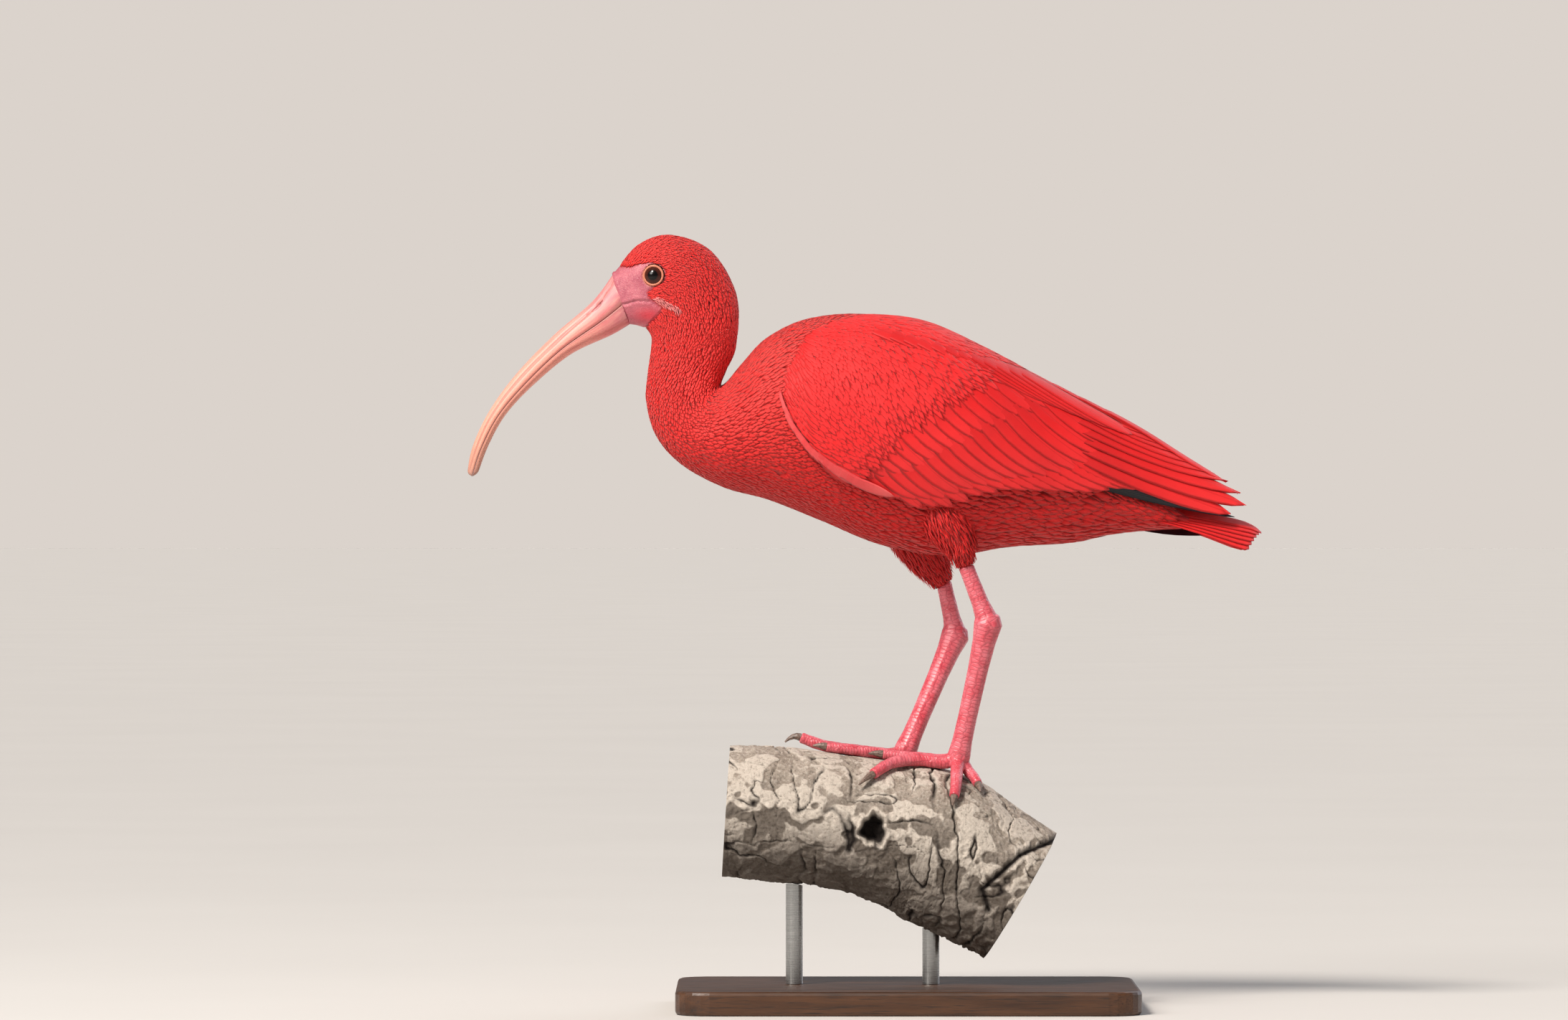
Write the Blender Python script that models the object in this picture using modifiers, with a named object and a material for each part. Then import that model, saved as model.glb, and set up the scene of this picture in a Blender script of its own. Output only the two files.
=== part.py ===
"""Scarlet ibis, a life-size display model: the bird stands on a cut length of limb, held by a flat base.

The bird faces -X with its left side to -Y, +Z is up, and the origin is the middle of the base's underside.
Sizes are in millimetres and are turned to metres where a mesh is made. Left is the bird's own left.
"""

import math
import random

import bmesh
import bpy
from mathutils import Vector

MM = 0.001
GAP = 0.3
SEARCH_STEPS = 90
HALVINGS = 40
AHEAD = 0.01
SIDES = {"left": -1, "right": 1}

# Body stations from the bill root to the tail: throat or belly line (x, z), crown or back line (x, z),
# and half the width across. Each one is a ring that leans with the line between its two points.
BODY = [
    ((-162.5, 400.4), (-170.9, 431.4), 9.5),
    ((-155.0, 398.4), (-157.5, 447.0), 15.0),
    ((-151.8, 396.6), (-138.5, 452.8), 18.2),
    ((-149.7, 392.5), (-114.5, 443.2), 19.0),
    ((-150.0, 386.0), (-99.6, 417.0), 19.0),
    ((-152.2, 369.5), (-99.9, 388.0), 18.5),
    ((-152.9, 355.0), (-105.6, 373.5), 19.8),
    ((-147.0, 334.8), (-108.8, 365.2), 25.0),
    ((-132.0, 318.0), (-106.2, 365.9), 33.0),
    ((-107.1, 304.6), (-96.2, 378.1), 41.0),
    ((-81.0, 297.4), (-81.5, 393.0), 46.5),
    ((-50.4, 285.3), (-56.7, 404.1), 50.0),
    ((-15.0, 271.0), (-20.0, 406.0), 50.5),
    ((23.1, 264.7), (18.9, 393.6), 47.0),
    ((60.0, 269.8), (56.0, 370.0), 41.5),
    ((96.0, 272.2), (92.0, 345.0), 33.5),
    ((122.0, 277.4), (119.0, 322.0), 25.0),
    ((150.0, 280.0), (150.0, 299.0), 17.5),
    ((170.0, 280.4), (170.0, 287.0), 12.0),
]
HEAD_END, NECK_SPLIT, NECK_END, TORSO_END, TAIL_CORE_END = 4.3, 5.6, 7.6, 15.0, 18.0
BODY_SIDES = 20
HEAD_RINGS, NECK_RINGS, TORSO_RINGS, TAIL_RINGS = 11, (5, 7), 18, 6

# Bill stations: culmen, line of the mouth and underside (x, z), and half the width at the mouth line.
BILL = [
    ((-170.9, 431.4), (-166.7, 411.7), (-162.5, 400.4), 9.2),
    ((-184.0, 413.8), (-179.5, 401.6), (-173.5, 394.0), 7.9),
    ((-207.5, 393.2), (-203.5, 384.5), (-197.0, 382.8), 6.2),
    ((-228.9, 371.0), (-224.7, 364.2), (-219.5, 364.3), 5.0),
    ((-244.5, 349.5), (-239.8, 346.0), (-235.3, 347.2), 4.2),
    ((-254.2, 329.0), (-249.6, 327.0), (-245.2, 329.5), 3.3),
    ((-257.6, 312.5), (-254.6, 311.3), (-251.6, 312.6), 2.2),
]
BILL_SIDES, BILL_RINGS = 8, 12
# The groove along each side of the bill, in shares of its width: how deep, how far out and how wide.
BILL_GROOVE = {"deep": 0.09, "out": 0.8, "wide": 0.12}
NOSTRIL = {"slit": [(-184.2, 408.0), (-181.0, 410.6), (-178.0, 414.0)], "radius": 0.85}

# The eye sits in a socket behind a ring of lid; turn is how far it looks forward.
EYE = {"x": -148.3, "z": 428.5, "ball": 8.0, "opening": 5.3, "lid": 1.3, "upper_heavier": 0.18,
       "turn": math.radians(12), "rise": 0.06}
LID_SIDES, LID_ROUND, LID_FLAT = 16, 5, 0.8
MOUTH_CORNER = [(-167.5, 411.2), (-158.0, 413.6), (-150.0, 413.2), (-144.9, 409.6)]
MOUTH_RADIUS, MOUTH_PROUD = 0.7, 0.1

# The surface of the folded wings: x, back line, height of the widest point, half the width.
WING = [
    (-80.0, 394.0, 347.0, 46.5),
    (-50.0, 402.0, 343.5, 51.5),
    (-20.0, 404.0, 340.0, 54.0),
    (10.0, 400.0, 334.0, 54.0),
    (40.0, 387.0, 328.0, 50.5),
    (70.0, 372.0, 320.0, 44.0),
    (100.0, 357.0, 312.0, 36.0),
    (135.0, 339.5, 304.0, 26.5),
    (170.0, 318.5, 295.0, 18.5),
    (210.0, 296.0, 286.0, 11.0),
]
# The fleshy part of the wing: x, its lower edge and its upper edge; BACK_LINE stands for the back line there.
BACK_LINE = 999.0
WING_CORE = [
    (-73.0, 357.0, 366.0),
    (-71.0, 351.0, 374.0),
    (-67.0, 341.5, 382.0),
    (-61.0, 331.0, 390.0),
    (-53.0, 323.0, 397.0),
    (-43.0, 315.0, 402.0),
    (-32.0, 307.5, BACK_LINE),
    (-18.0, 302.3, BACK_LINE),
    (0.0, 298.5, BACK_LINE),
    (20.0, 297.5, BACK_LINE),
    (42.0, 305.0, BACK_LINE),
    (64.0, 314.0, BACK_LINE),
    (86.0, 319.0, BACK_LINE),
    (104.0, 323.0, BACK_LINE),
]
CORE_SIDES = 9
FOREARM, FOREARM_NORMAL = (-60.0, 340.0), (0.469, -0.883)
CORE_PROUD, CORE_UNDER, CORE_DEPTH, CORE_EDGE_DEPTH = 2.6, -1.6, -5.6, -2.4
CORE_SLOPE = (5.0, 30.0)
CORE_RIM, CORE_ROLL = 5, 0.8
# How many millimetres of the wing's surface one radian is, near enough to grow it evenly.
CORE_RADIAN = 50.0
MIDLINE = 0.35
BED_SLACK = 0.1
RIDGE_BED = {"x": (-32.0, -18.0, 0.0, 20.0, 42.0, 64.0, 86.0, 106.0), "half": 6.0, "top": 430.0}
# The thickness of a feather and the height of its middle line over its edges.
VANE, VANE_CREST = 0.7, 0.15

# Outlines of a feather from root to tip: how far along, and the share of its width there.
POINTED = ((0.0, 0.4), (0.28, 0.9), (0.62, 0.95), (0.88, 0.6), (1.0, 0.12))
ROUNDED = ((0.0, 0.5), (0.28, 0.95), (0.62, 1.0), (0.88, 0.75), (1.0, 0.22))
STUBBY = ((0.0, 0.6), (0.35, 1.0), (0.8, 0.88), (1.0, 0.24))

# Feather tiers of a wing: name, count, first and last root, first and last tip, half width, lift of the upper
# and the lower edge off the wing's surface, how much deeper each next one lies, how far a feather bows down,
# extra reach of the middle ones, and the outline. Roots and tips are (x, z) as seen from the side. Those of
# the ridge are (x, y) as seen from above.
TIERS = [
    ("primary", 4, (82.0, 314.0), (92.0, 310.0), (160.0, 297.0), (193.0, 286.5),
     4.5, -2.9, -2.1, 0.0, 0.0, 0.0, POINTED),
    ("secondary", 8, (-2.0, 322.0), (70.0, 341.0), (31.0, 302.0), (136.0, 304.5),
     6.2, -0.9, 0.9, 0.0, 5.0, 0.0, ROUNDED),
    ("tertial", 4, (78.0, 342.0), (68.0, 370.0), (189.8, 288.0), (189.9, 303.0),
     6.8, -0.8, 1.1, 0.0, 3.0, 9.0, POINTED),
    ("ridge", 3, (36.0, 7.0), (78.0, 6.0), (122.0, 6.5), (190.0, 4.6),
     6.0, 1.2, 2.2, 0.9, 0.0, 0.0, ROUNDED),
    ("greater_covert", 8, (-18.0, 321.0), (56.0, 374.0), (24.0, 298.0), (96.0, 352.0),
     7.6, 0.9, 2.7, 0.0, 3.0, 0.0, STUBBY),
    ("median_covert", 7, (-42.0, 328.0), (18.0, 388.0), (-8.0, 307.0), (54.0, 371.0),
     8.0, 2.0, 3.6, 0.0, 2.0, 0.0, STUBBY),
    ("scapular", 3, (-22.0, 398.0), (44.0, 382.0), (44.0, 385.0), (118.0, 346.0),
     8.0, 2.4, 3.4, 0.0, 0.0, 0.0, STUBBY),
]
RIDGED = ("tertial", "ridge", "scapular")
ROOT_LIFT = -3.0
UNEVEN, SEED = 1.0, 7

TAIL = {"pairs": 5, "root": (112.0, 297.0), "tip": (207.5, 279.2), "middle_half": 10.0, "half": 8.5,
        "fan": 2.1, "start": 1.5, "inmost": 0.4, "layer": 0.6, "slope": 0.12, "shorter": 1.5}
TAIL_CLEAR = {"x": (114.0, 215.0), "y": (-30.0, 0.0, 30.0), "bottom": 240.0}

# Legs: points of the feathered thigh (x, y, z, radius), then the heel and the foot joint (x, y, z).
THIGHS = {
    "left": [
        (13.0, -20.0, 303.0, 14.0),
        (22.0, -25.0, 286.5, 15.5),
        (29.5, -27.0, 272.5, 11.2),
        (34.0, -27.0, 258.8, 5.6),
    ],
    "right": [
        (-6.0, 20.0, 300.0, 14.0),
        (3.0, 25.5, 280.0, 16.0),
        (13.5, 28.0, 262.0, 12.3),
        (22.3, 28.5, 247.9, 6.4),
    ],
}
THIGH_STEPS = 3
THIGH_ROOF = {"low": (-80.0, -80.0, 297.0), "high": (120.0, 80.0, 417.0)}
HEELS = {"left": (47.0, -25.0, 225.6), "right": (29.0, 29.0, 218.2)}
FOOT_JOINTS = {"left": (30.2, -9.0, 147.5), "right": (-0.4, 14.0, 150.9)}
SHANK_RADII = (4.5, 4.5, 5.0, 6.8)
SHANK_STATIONS = (-0.05, 0.2, 0.65, 1.0)
TARSUS_RADII = (5.6, 8.4, 6.8, 5.9, 5.5, 5.8, 6.8, 5.2)
TARSUS_STATIONS = (-0.07, 0.0, 0.14, 0.35, 0.7, 0.88, 1.0, 1.05)

# Toes: each point is x, the angle round the limb from its top towards the left, and the arch over the bark.
TOES = {
    "left": {
        "middle": [(22.0, 12.0, 1.5), (7.0, 13.0, 0.6), (-9.0, 25.0, 0.4), (-20.0, 42.0, 0.0),
                   (-28.5, 55.0, 0.0)],
        "outer": [(29.0, 19.0, 1.5), (28.5, 29.0, 0.8), (28.0, 39.0, 0.2), (27.0, 48.0, 0.0),
                  (26.0, 56.0, 0.0)],
        "inner": [(21.0, 4.0, 1.5), (8.0, 1.0, 0.6), (-4.0, 0.0, 0.4), (-14.0, 1.0, 0.5),
                  (-22.5, 3.0, 0.0)],
        "hind": [(36.0, 13.0, 1.0), (39.0, 18.0, 0.4), (41.0, 24.0, 0.0), (42.5, 32.0, 0.0)],
    },
    "right": {
        "middle": [(-9.0, -16.0, 1.2), (-28.0, -12.0, 0.5), (-48.0, -9.0, 0.5), (-62.0, -8.0, 3.6),
                   (-71.5, -8.0, 0.0)],
        "outer": [(-6.0, -25.0, 1.2), (-16.0, -35.0, 0.6), (-26.0, -47.0, 0.3), (-33.0, -58.0, 0.2),
                  (-38.0, -69.0, 0.0)],
        "inner": [(-9.0, -11.0, 1.2), (-22.0, -5.0, 0.5), (-36.0, -1.0, 0.4), (-47.0, 1.0, 0.4),
                  (-55.0, 2.0, 0.0)],
        "hind": [(6.0, -22.0, 1.0), (12.0, -24.0, 0.4), (18.0, -27.0, 0.0), (23.0, -33.0, 0.0)],
    },
}
TOE_RADII = {"middle": (4.1, 3.0), "outer": (3.9, 2.9), "inner": (3.7, 2.8), "hind": (3.5, 2.7)}
# The middle of a toe stands over the bark by this share of its radius, so that the toe rests firmly on it.
TOE_SEAT = 0.9
TOE_STEPS, SCUTE = 13, 0.22
CLAW = {"radii": (2.3, 0.45), "taper": 1.3, "arch": 0.5, "steps": 4}

# The limb's middle line and radius, from its left cut end to its right one: x, z, radius.
LIMB = [
    (-106.0, 115.5, 38.6),
    (-78.0, 113.7, 40.0),
    (-38.0, 108.5, 39.8),
    (-11.0, 103.0, 42.0),
    (8.5, 98.0, 44.4),
    (24.0, 91.0, 45.8),
    (41.5, 80.0, 44.4),
    (66.0, 65.5, 43.0),
]
LIMB_SIDES, LIMB_STATIONS = 24, 16
# Swells of the bark's surface: height, how many round the limb, and the twist along it.
SWELLS = ((0.64, 3, 1.1), (0.5, 5, -1.7))
# The knot hole: where it is, its radius where it leaves the cutter outside the bark and at its bottom.
KNOT = {"x": -20.0, "angle": 82.0, "mouth": 8.4, "bottom": 4.2, "depth": 9.0, "outside": 4.0}

BASE = {"length": 270.0, "width": 170.0, "height": 14.0, "corner": 20.0, "edge": 2.0, "steps": 6}
ROD_RADIUS, ROD_SIDES = 5.0, 24
RODS = {"front": -66.0, "rear": 14.0}

# Colour (sRGB hex), roughness and metallic value of each finish.
FINISHES = {
    "plumage": ("E0242A", 0.75, 0.0),
    "bill": ("D9927F", 0.45, 0.0),
    "eye": ("1A0D0A", 0.05, 0.0),
    "leg_skin": ("E8808A", 0.4, 0.0),
    "claw": ("5A4A44", 0.4, 0.0),
    "bark": ("A89C90", 0.9, 0.0),
    "wood": ("4A3020", 0.4, 0.0),
    "steel": ("B0B0B0", 0.3, 1.0),
}


def clear_scene():
    for obj in list(bpy.data.objects):
        bpy.data.objects.remove(obj, do_unlink=True)


def collection(name):
    made = bpy.data.collections.new(name)
    bpy.context.scene.collection.children.link(made)
    return made


def linear(hex_colour):
    parts = [int(hex_colour[i:i + 2], 16) / 255 for i in (0, 2, 4)]
    return tuple(c / 12.92 if c <= 0.04045 else ((c + 0.055) / 1.055) ** 2.4 for c in parts) + (1.0,)


def finish(name):
    """The Principled BSDF material of this finish, made once."""
    if name in bpy.data.materials:
        return bpy.data.materials[name]
    colour, roughness, metallic = FINISHES[name]
    material = bpy.data.materials.new(name)
    material.use_nodes = True
    shader = material.node_tree.nodes["Principled BSDF"]
    shader.inputs["Base Color"].default_value = linear(colour)
    shader.inputs["Roughness"].default_value = roughness
    shader.inputs["Metallic"].default_value = metallic
    return material


def add_mesh(name, points, faces, where):
    """A closed mesh from points in millimetres, its faces turned outwards."""
    mesh = bpy.data.meshes.new(name)
    form = bmesh.new()
    corners = [form.verts.new(Vector(point) * MM) for point in points]
    for face in faces:
        form.faces.new([corners[i] for i in face])
    bmesh.ops.recalc_face_normals(form, faces=form.faces)
    if form.calc_volume(signed=True) < 0:
        bmesh.ops.reverse_faces(form, faces=form.faces)
    form.to_mesh(mesh)
    form.free()
    made = bpy.data.objects.new(name, mesh)
    where.objects.link(made)
    return made


def smooth_along(rows, t):
    """Values on the smooth curve through the rows, where t counts rows."""
    last = len(rows) - 1
    i = min(max(int(t), 0), last - 1)
    f = t - i
    before, start, end, after = (rows[min(max(k, 0), last)] for k in (i - 1, i, i + 1, i + 2))
    return [
        b + 0.5 * f * (c - a + f * (2 * a - 5 * b + 4 * c - d + f * (3 * b - a - 3 * c + d)))
        for a, b, c, d in zip(before, start, end, after)
    ]


def at_x(rows, x):
    """The values of these rows at x, which is each row's first value."""
    low, high = 0.0, len(rows) - 1.0
    for _ in range(HALVINGS):
        middle = (low + high) / 2
        if smooth_along(rows, middle)[0] < x:
            low = middle
        else:
            high = middle
    return smooth_along(rows, low)


def loft(name, rings, where):
    """A closed skin over rings of equal count, with a flat cap on each end.

    Its sides are split into triangles alike, so that a skin and its grown copy keep their gap.
    """
    sides = len(rings[0])
    points = [point for ring in rings for point in ring]
    faces = []
    for i in range(len(rings) - 1):
        for k in range(sides):
            a, b = i * sides + k, i * sides + (k + 1) % sides
            faces += [(a, b, b + sides), (a, b + sides, a + sides)]
    faces.append(tuple(range(sides)))
    faces.append(tuple(range((len(rings) - 1) * sides, len(rings) * sides)))
    return add_mesh(name, points, faces, where)


def tube(name, points, radii, where, fineness=2):
    """A round rod of changing thickness through the points, made from a bevelled curve."""
    curve = bpy.data.curves.new(name, "CURVE")
    curve.dimensions = "3D"
    curve.bevel_depth = MM
    curve.bevel_resolution = fineness
    curve.use_fill_caps = True
    spline = curve.splines.new("POLY")
    spline.points.add(len(points) - 1)
    for knot, point, radius in zip(spline.points, points, radii):
        knot.co = (*(Vector(point) * MM), 1.0)
        knot.radius = radius
    wire = bpy.data.objects.new(name + "_wire", curve)
    where.objects.link(wire)
    graph = bpy.context.evaluated_depsgraph_get()
    mesh = bpy.data.meshes.new_from_object(wire.evaluated_get(graph))
    bpy.data.objects.remove(wire, do_unlink=True)
    form = bmesh.new()
    form.from_mesh(mesh)
    bmesh.ops.remove_doubles(form, verts=form.verts, dist=0.01 * MM)
    bmesh.ops.recalc_face_normals(form, faces=form.faces)
    form.to_mesh(mesh)
    form.free()
    made = bpy.data.objects.new(name, mesh)
    where.objects.link(made)
    return made


def keep_largest(obj):
    """Drops every closed surface of the mesh but the one that holds most."""
    form = bmesh.new()
    form.from_mesh(obj.data)
    form.verts.ensure_lookup_table()
    seen, shells = set(), []
    for start in form.verts:
        if start in seen:
            continue
        shell, queue = {start}, [start]
        while queue:
            for edge in queue.pop().link_edges:
                for corner in edge.verts:
                    if corner not in shell:
                        shell.add(corner)
                        queue.append(corner)
        seen |= shell
        reach = [max(v.co[i] for v in shell) - min(v.co[i] for v in shell) for i in range(3)]
        shells.append((reach[0] * reach[1] * reach[2], len(shells), shell))
    for _, _, shell in sorted(shells)[:-1]:
        bmesh.ops.delete(form, geom=list(shell), context="VERTS")
    form.to_mesh(obj.data)
    form.free()


def combine(target, others, operation, solver="EXACT"):
    """One Boolean of the target with all the others, applied; the others are removed."""
    group = collection(target.name + "_" + operation.lower())
    for other in others:
        for home in list(other.users_collection):
            home.objects.unlink(other)
        group.objects.link(other)
    step = target.modifiers.new(operation.lower(), "BOOLEAN")
    step.operation = operation
    step.solver = solver
    step.operand_type = "COLLECTION"
    step.collection = group
    graph = bpy.context.evaluated_depsgraph_get()
    mesh = bpy.data.meshes.new_from_object(target.evaluated_get(graph))
    target.modifiers.clear()
    old, target.data = target.data, mesh
    bpy.data.meshes.remove(old)
    mesh.name = target.name
    for other in others:
        bpy.data.objects.remove(other, do_unlink=True)
    bpy.data.collections.remove(group)
    keep_largest(target)


def dress(obj, finish_name, sharp=40.0):
    obj.data.materials.clear()
    obj.data.materials.append(finish(finish_name))
    obj.data.shade_smooth()
    obj.data.set_sharp_from_angle(angle=math.radians(sharp))


def body_ring(s, grow=0.0, shift=0.0, sides=BODY_SIDES):
    """The body's ring at station s, made larger by grow and moved along its axis by shift."""
    rows = [(*low, *high, half) for low, high, half in BODY]
    low_x, low_z, high_x, high_z, half = smooth_along(rows, s)
    middle = Vector(((low_x + high_x) / 2, 0.0, (low_z + high_z) / 2))
    reach = Vector(((high_x - low_x) / 2, 0.0, (high_z - low_z) / 2))
    up = reach.normalized()
    axis = Vector((0.0, 1.0, 0.0)).cross(up)
    middle = middle + axis * shift
    tall, wide = reach.length + grow, half + grow
    ring = []
    for k in range(sides):
        a = 2 * math.pi * k / sides
        ring.append(middle + up * (tall * math.cos(a)) + Vector((0.0, wide * math.sin(a), 0.0)))
    return ring


def body_length(name, start, end, rings, where, grow=0.0):
    """A length of the body between two stations, short of both by half the gap."""
    made = []
    for i in range(rings + 1):
        shift = GAP / 2 - grow if i == 0 else grow - GAP / 2 if i == rings else 0.0
        made.append(body_ring(start + (end - start) * i / rings, grow, shift))
    return loft(name, made, where)


def wing_point(x, angle, lift, side, inmost=MIDLINE):
    """A point over the folded wing's surface, where angle turns from the back line down the side."""
    _, top, middle, half = at_x(WING, x)
    angle = max(angle, math.asin(inmost / half))
    tall = top - middle
    spot = Vector((x, half * math.sin(angle), middle + tall * math.cos(angle)))
    _, next_top, next_middle, next_half = at_x(WING, x + 1.0)
    next_tall = next_top - next_middle
    along = Vector((1.0, next_half * math.sin(angle), next_middle + next_tall * math.cos(angle)))
    along -= Vector((0.0, spot.y, spot.z))
    around = Vector((0.0, half * math.cos(angle), -tall * math.sin(angle)))
    normal = along.cross(around).normalized()
    spot += normal * lift
    return Vector((spot.x, side * max(spot.y, inmost), spot.z))


def wing_angle(x, z):
    """The angle at which the wing's surface has this height."""
    _, top, middle, _ = at_x(WING, x)
    return math.acos(min(max((z - middle) / (top - middle), -0.95), 1.0))


def ridge_angle(x, y):
    """The angle at which the wing's surface is this far out from the middle, near its back line."""
    return math.asin(y / at_x(WING, x)[3])


def around_length(x, angle):
    """How many millimetres of the surface one radian of the angle is."""
    _, top, middle, half = at_x(WING, x)
    return math.hypot(half * math.cos(angle), (top - middle) * math.sin(angle))


def core_lift(x, z):
    """The fleshy part stands proud over the forearm and dips under the feather tiers behind it."""
    behind = (x - FOREARM[0]) * FOREARM_NORMAL[0] + (z - FOREARM[1]) * FOREARM_NORMAL[1]
    f = min(max((behind - CORE_SLOPE[0]) / (CORE_SLOPE[1] - CORE_SLOPE[0]), 0.0), 1.0)
    f = f * f * (3 - 2 * f)
    return CORE_PROUD + (CORE_UNDER - CORE_PROUD) * f


def wing_core(name, side, where, grow=0.0):
    """The fleshy part of one wing: its outer skin and its inner one, which lies on the torso."""
    rings = []
    for i, (x, low_z, high_z) in enumerate(WING_CORE):
        first, last = wing_angle(x, high_z), wing_angle(x, low_z)
        if grow:
            x += grow * (i == len(WING_CORE) - 1) - grow * (i == 0)
            first = max(first - grow / CORE_RADIAN, 0.0)
            last += grow / CORE_RADIAN
        outer, inner = [], []
        for k in range(CORE_SIDES + 1):
            f = k / CORE_SIDES
            angle = first + (last - first) * f
            height = wing_point(x, angle, 0.0, side).z
            top_edge = 0.0 if high_z == BACK_LINE else 1 - f * CORE_RIM
            edge = max(0.0, top_edge, 1 - (1 - f) * CORE_RIM)
            depth = CORE_DEPTH + (CORE_EDGE_DEPTH - CORE_DEPTH) * edge
            lift = core_lift(x, height) - CORE_ROLL * edge
            outer.append(wing_point(x, angle, lift + grow, side, MIDLINE - grow))
            inner.append(wing_point(x, angle, depth - grow, side, MIDLINE - grow))
        rings.append(outer + inner[::-1])
    return loft(name, rings, where)


def vane(name, stations, where, thickness=VANE):
    """A thin blade through stations of (point, outward normal) for its two edges and middle.

    Both faces are split into triangles alike, so that they can't cross where the blade curves.
    """
    across = len(stations[0])
    ring = 2 * across
    points, faces = [], []
    for station in stations:
        points += [point for point, _ in station]
        points += [point - normal * thickness for point, normal in station]
    for i in range(len(stations) - 1):
        a, b = ring * i, ring * (i + 1)
        for k in range(across - 1):
            faces += [(a + k, a + k + 1, b + k + 1), (a + k, b + k + 1, b + k)]
            c, d = a + across, b + across
            faces += [(c + k, d + k + 1, c + k + 1), (c + k, d + k, d + k + 1)]
        for k in (0, across - 1):
            faces.append((a + k, b + k, b + across + k, a + across + k))
    for a in (0, ring * (len(stations) - 1)):
        for k in range(across - 1):
            faces.append((a + k, a + k + 1, a + across + k + 1, a + across + k))
    return add_mesh(name, points, faces, where)


def wing_vane(name, root, tip, half, lifts, bow, outline, places, turned, side, where):
    """One feather on the wing's surface, from root to tip in a flat view, its root sunk in the core."""
    run = Vector((tip[0] - root[0], tip[1] - root[1]))
    across = Vector((run.y, -run.x)).normalized()
    bend = Vector(((root[0] + tip[0]) / 2, (root[1] + tip[1]) / 2)) + across * bow

    def path(f):
        return Vector(root) * (1 - f) ** 2 + bend * 2 * f * (1 - f) + Vector(tip) * f * f

    stations = []
    for f, width in outline:
        here, ahead = path(f), path(f + AHEAD)
        angle = turned(here.x, here.y)
        scale = around_length(here.x, angle)
        step = Vector((ahead.x - here.x, (turned(ahead.x, ahead.y) - angle) * scale)).normalized()
        sunk = ROOT_LIFT * max(0.0, 1 - f / outline[1][0])
        station = []
        for place in places:
            offset = place * half * width
            x, turn = here.x - step.y * offset, angle + step.x * offset / scale
            lift = lifts[0] + (lifts[1] - lifts[0]) * (place + 1) / 2 + VANE_CREST * (place == 0) + sunk
            point = wing_point(x, turn, lift, side)
            normal = (wing_point(x, turn, lift + 1.0, side) - point).normalized()
            station.append((point, normal))
        stations.append(station)
    return vane(name, stations, where)


def wing(name, side, where):
    """One folded wing: the fleshy part with its tiers of flight feathers and coverts."""
    core = wing_core(name, side, where)
    draw = random.Random(SEED)
    vanes = []
    for tier, count, root_a, root_b, tip_a, tip_b, half, upper, lower, deeper, bow, reach, outline in TIERS:
        places = (-1, 0, 1) if tier in RIDGED else (-1, 1)
        turned = ridge_angle if tier == "ridge" else wing_angle
        for i in range(count):
            f = i / (count - 1)
            root = [a + (b - a) * f for a, b in zip(root_a, root_b)]
            tip = [a + (b - a) * f for a, b in zip(tip_a, tip_b)]
            run = Vector((tip[0] - root[0], tip[1] - root[1]))
            longer = 1 + (reach * math.sin(math.pi * f) + draw.uniform(-UNEVEN, UNEVEN)) / run.length
            tip = (root[0] + run.x * longer, root[1] + run.y * longer)
            lifts = (upper - deeper * i, lower - deeper * i)
            label = f"{name}_{tier}_{i}"
            vanes.append(wing_vane(label, root, tip, half, lifts, bow, outline, places, turned, side, where))
    combine(core, vanes, "UNION", "MANIFOLD")
    return core


def tail_height(x, y):
    """The height of the closed tail's upper face: it slopes back and falls off like a roof to each side."""
    (x0, z0), (x1, z1) = TAIL["root"], TAIL["tip"]
    return z0 + (z1 - z0) * (x - x0) / (x1 - x0) - TAIL["slope"] * abs(y)


def tail_vane(name, pair, side, where):
    """One tail feather: pair 0 is the middle one on top, and each next pair lies under it and further out."""
    x0, x1 = TAIL["root"][0], TAIL["tip"][0] - TAIL["shorter"] * pair
    turn = math.tan(math.radians(TAIL["fan"] * pair))
    half = TAIL["half"] if pair else TAIL["middle_half"]
    stations = []
    for f, width in ROUNDED:
        x = x0 + (x1 - x0) * f
        middle = (TAIL["start"] if pair else 0.0) + turn * (x - x0)
        edges = [middle - half * width, middle + half * width]
        if pair:
            edges[0] = max(edges[0], TAIL["inmost"])
        else:
            edges.insert(1, 0.0)
        points = [Vector((x, side * y, tail_height(x, y) - TAIL["layer"] * pair)) for y in edges]
        stations.append([(point, Vector((0.0, 0.0, 1.0))) for point in points])
    return vane(name, stations, where)


def tail_clear(where):
    """The space that the tail takes up, with the gap, as far as the wings must stay above it."""
    rings = []
    for x in TAIL_CLEAR["x"]:
        top = [Vector((x, y, tail_height(x, y) + GAP)) for y in TAIL_CLEAR["y"]]
        rings.append(top + [Vector((x, y, TAIL_CLEAR["bottom"])) for y in TAIL_CLEAR["y"][::-2]])
    return loft("tail_clear", rings, where)


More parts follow.
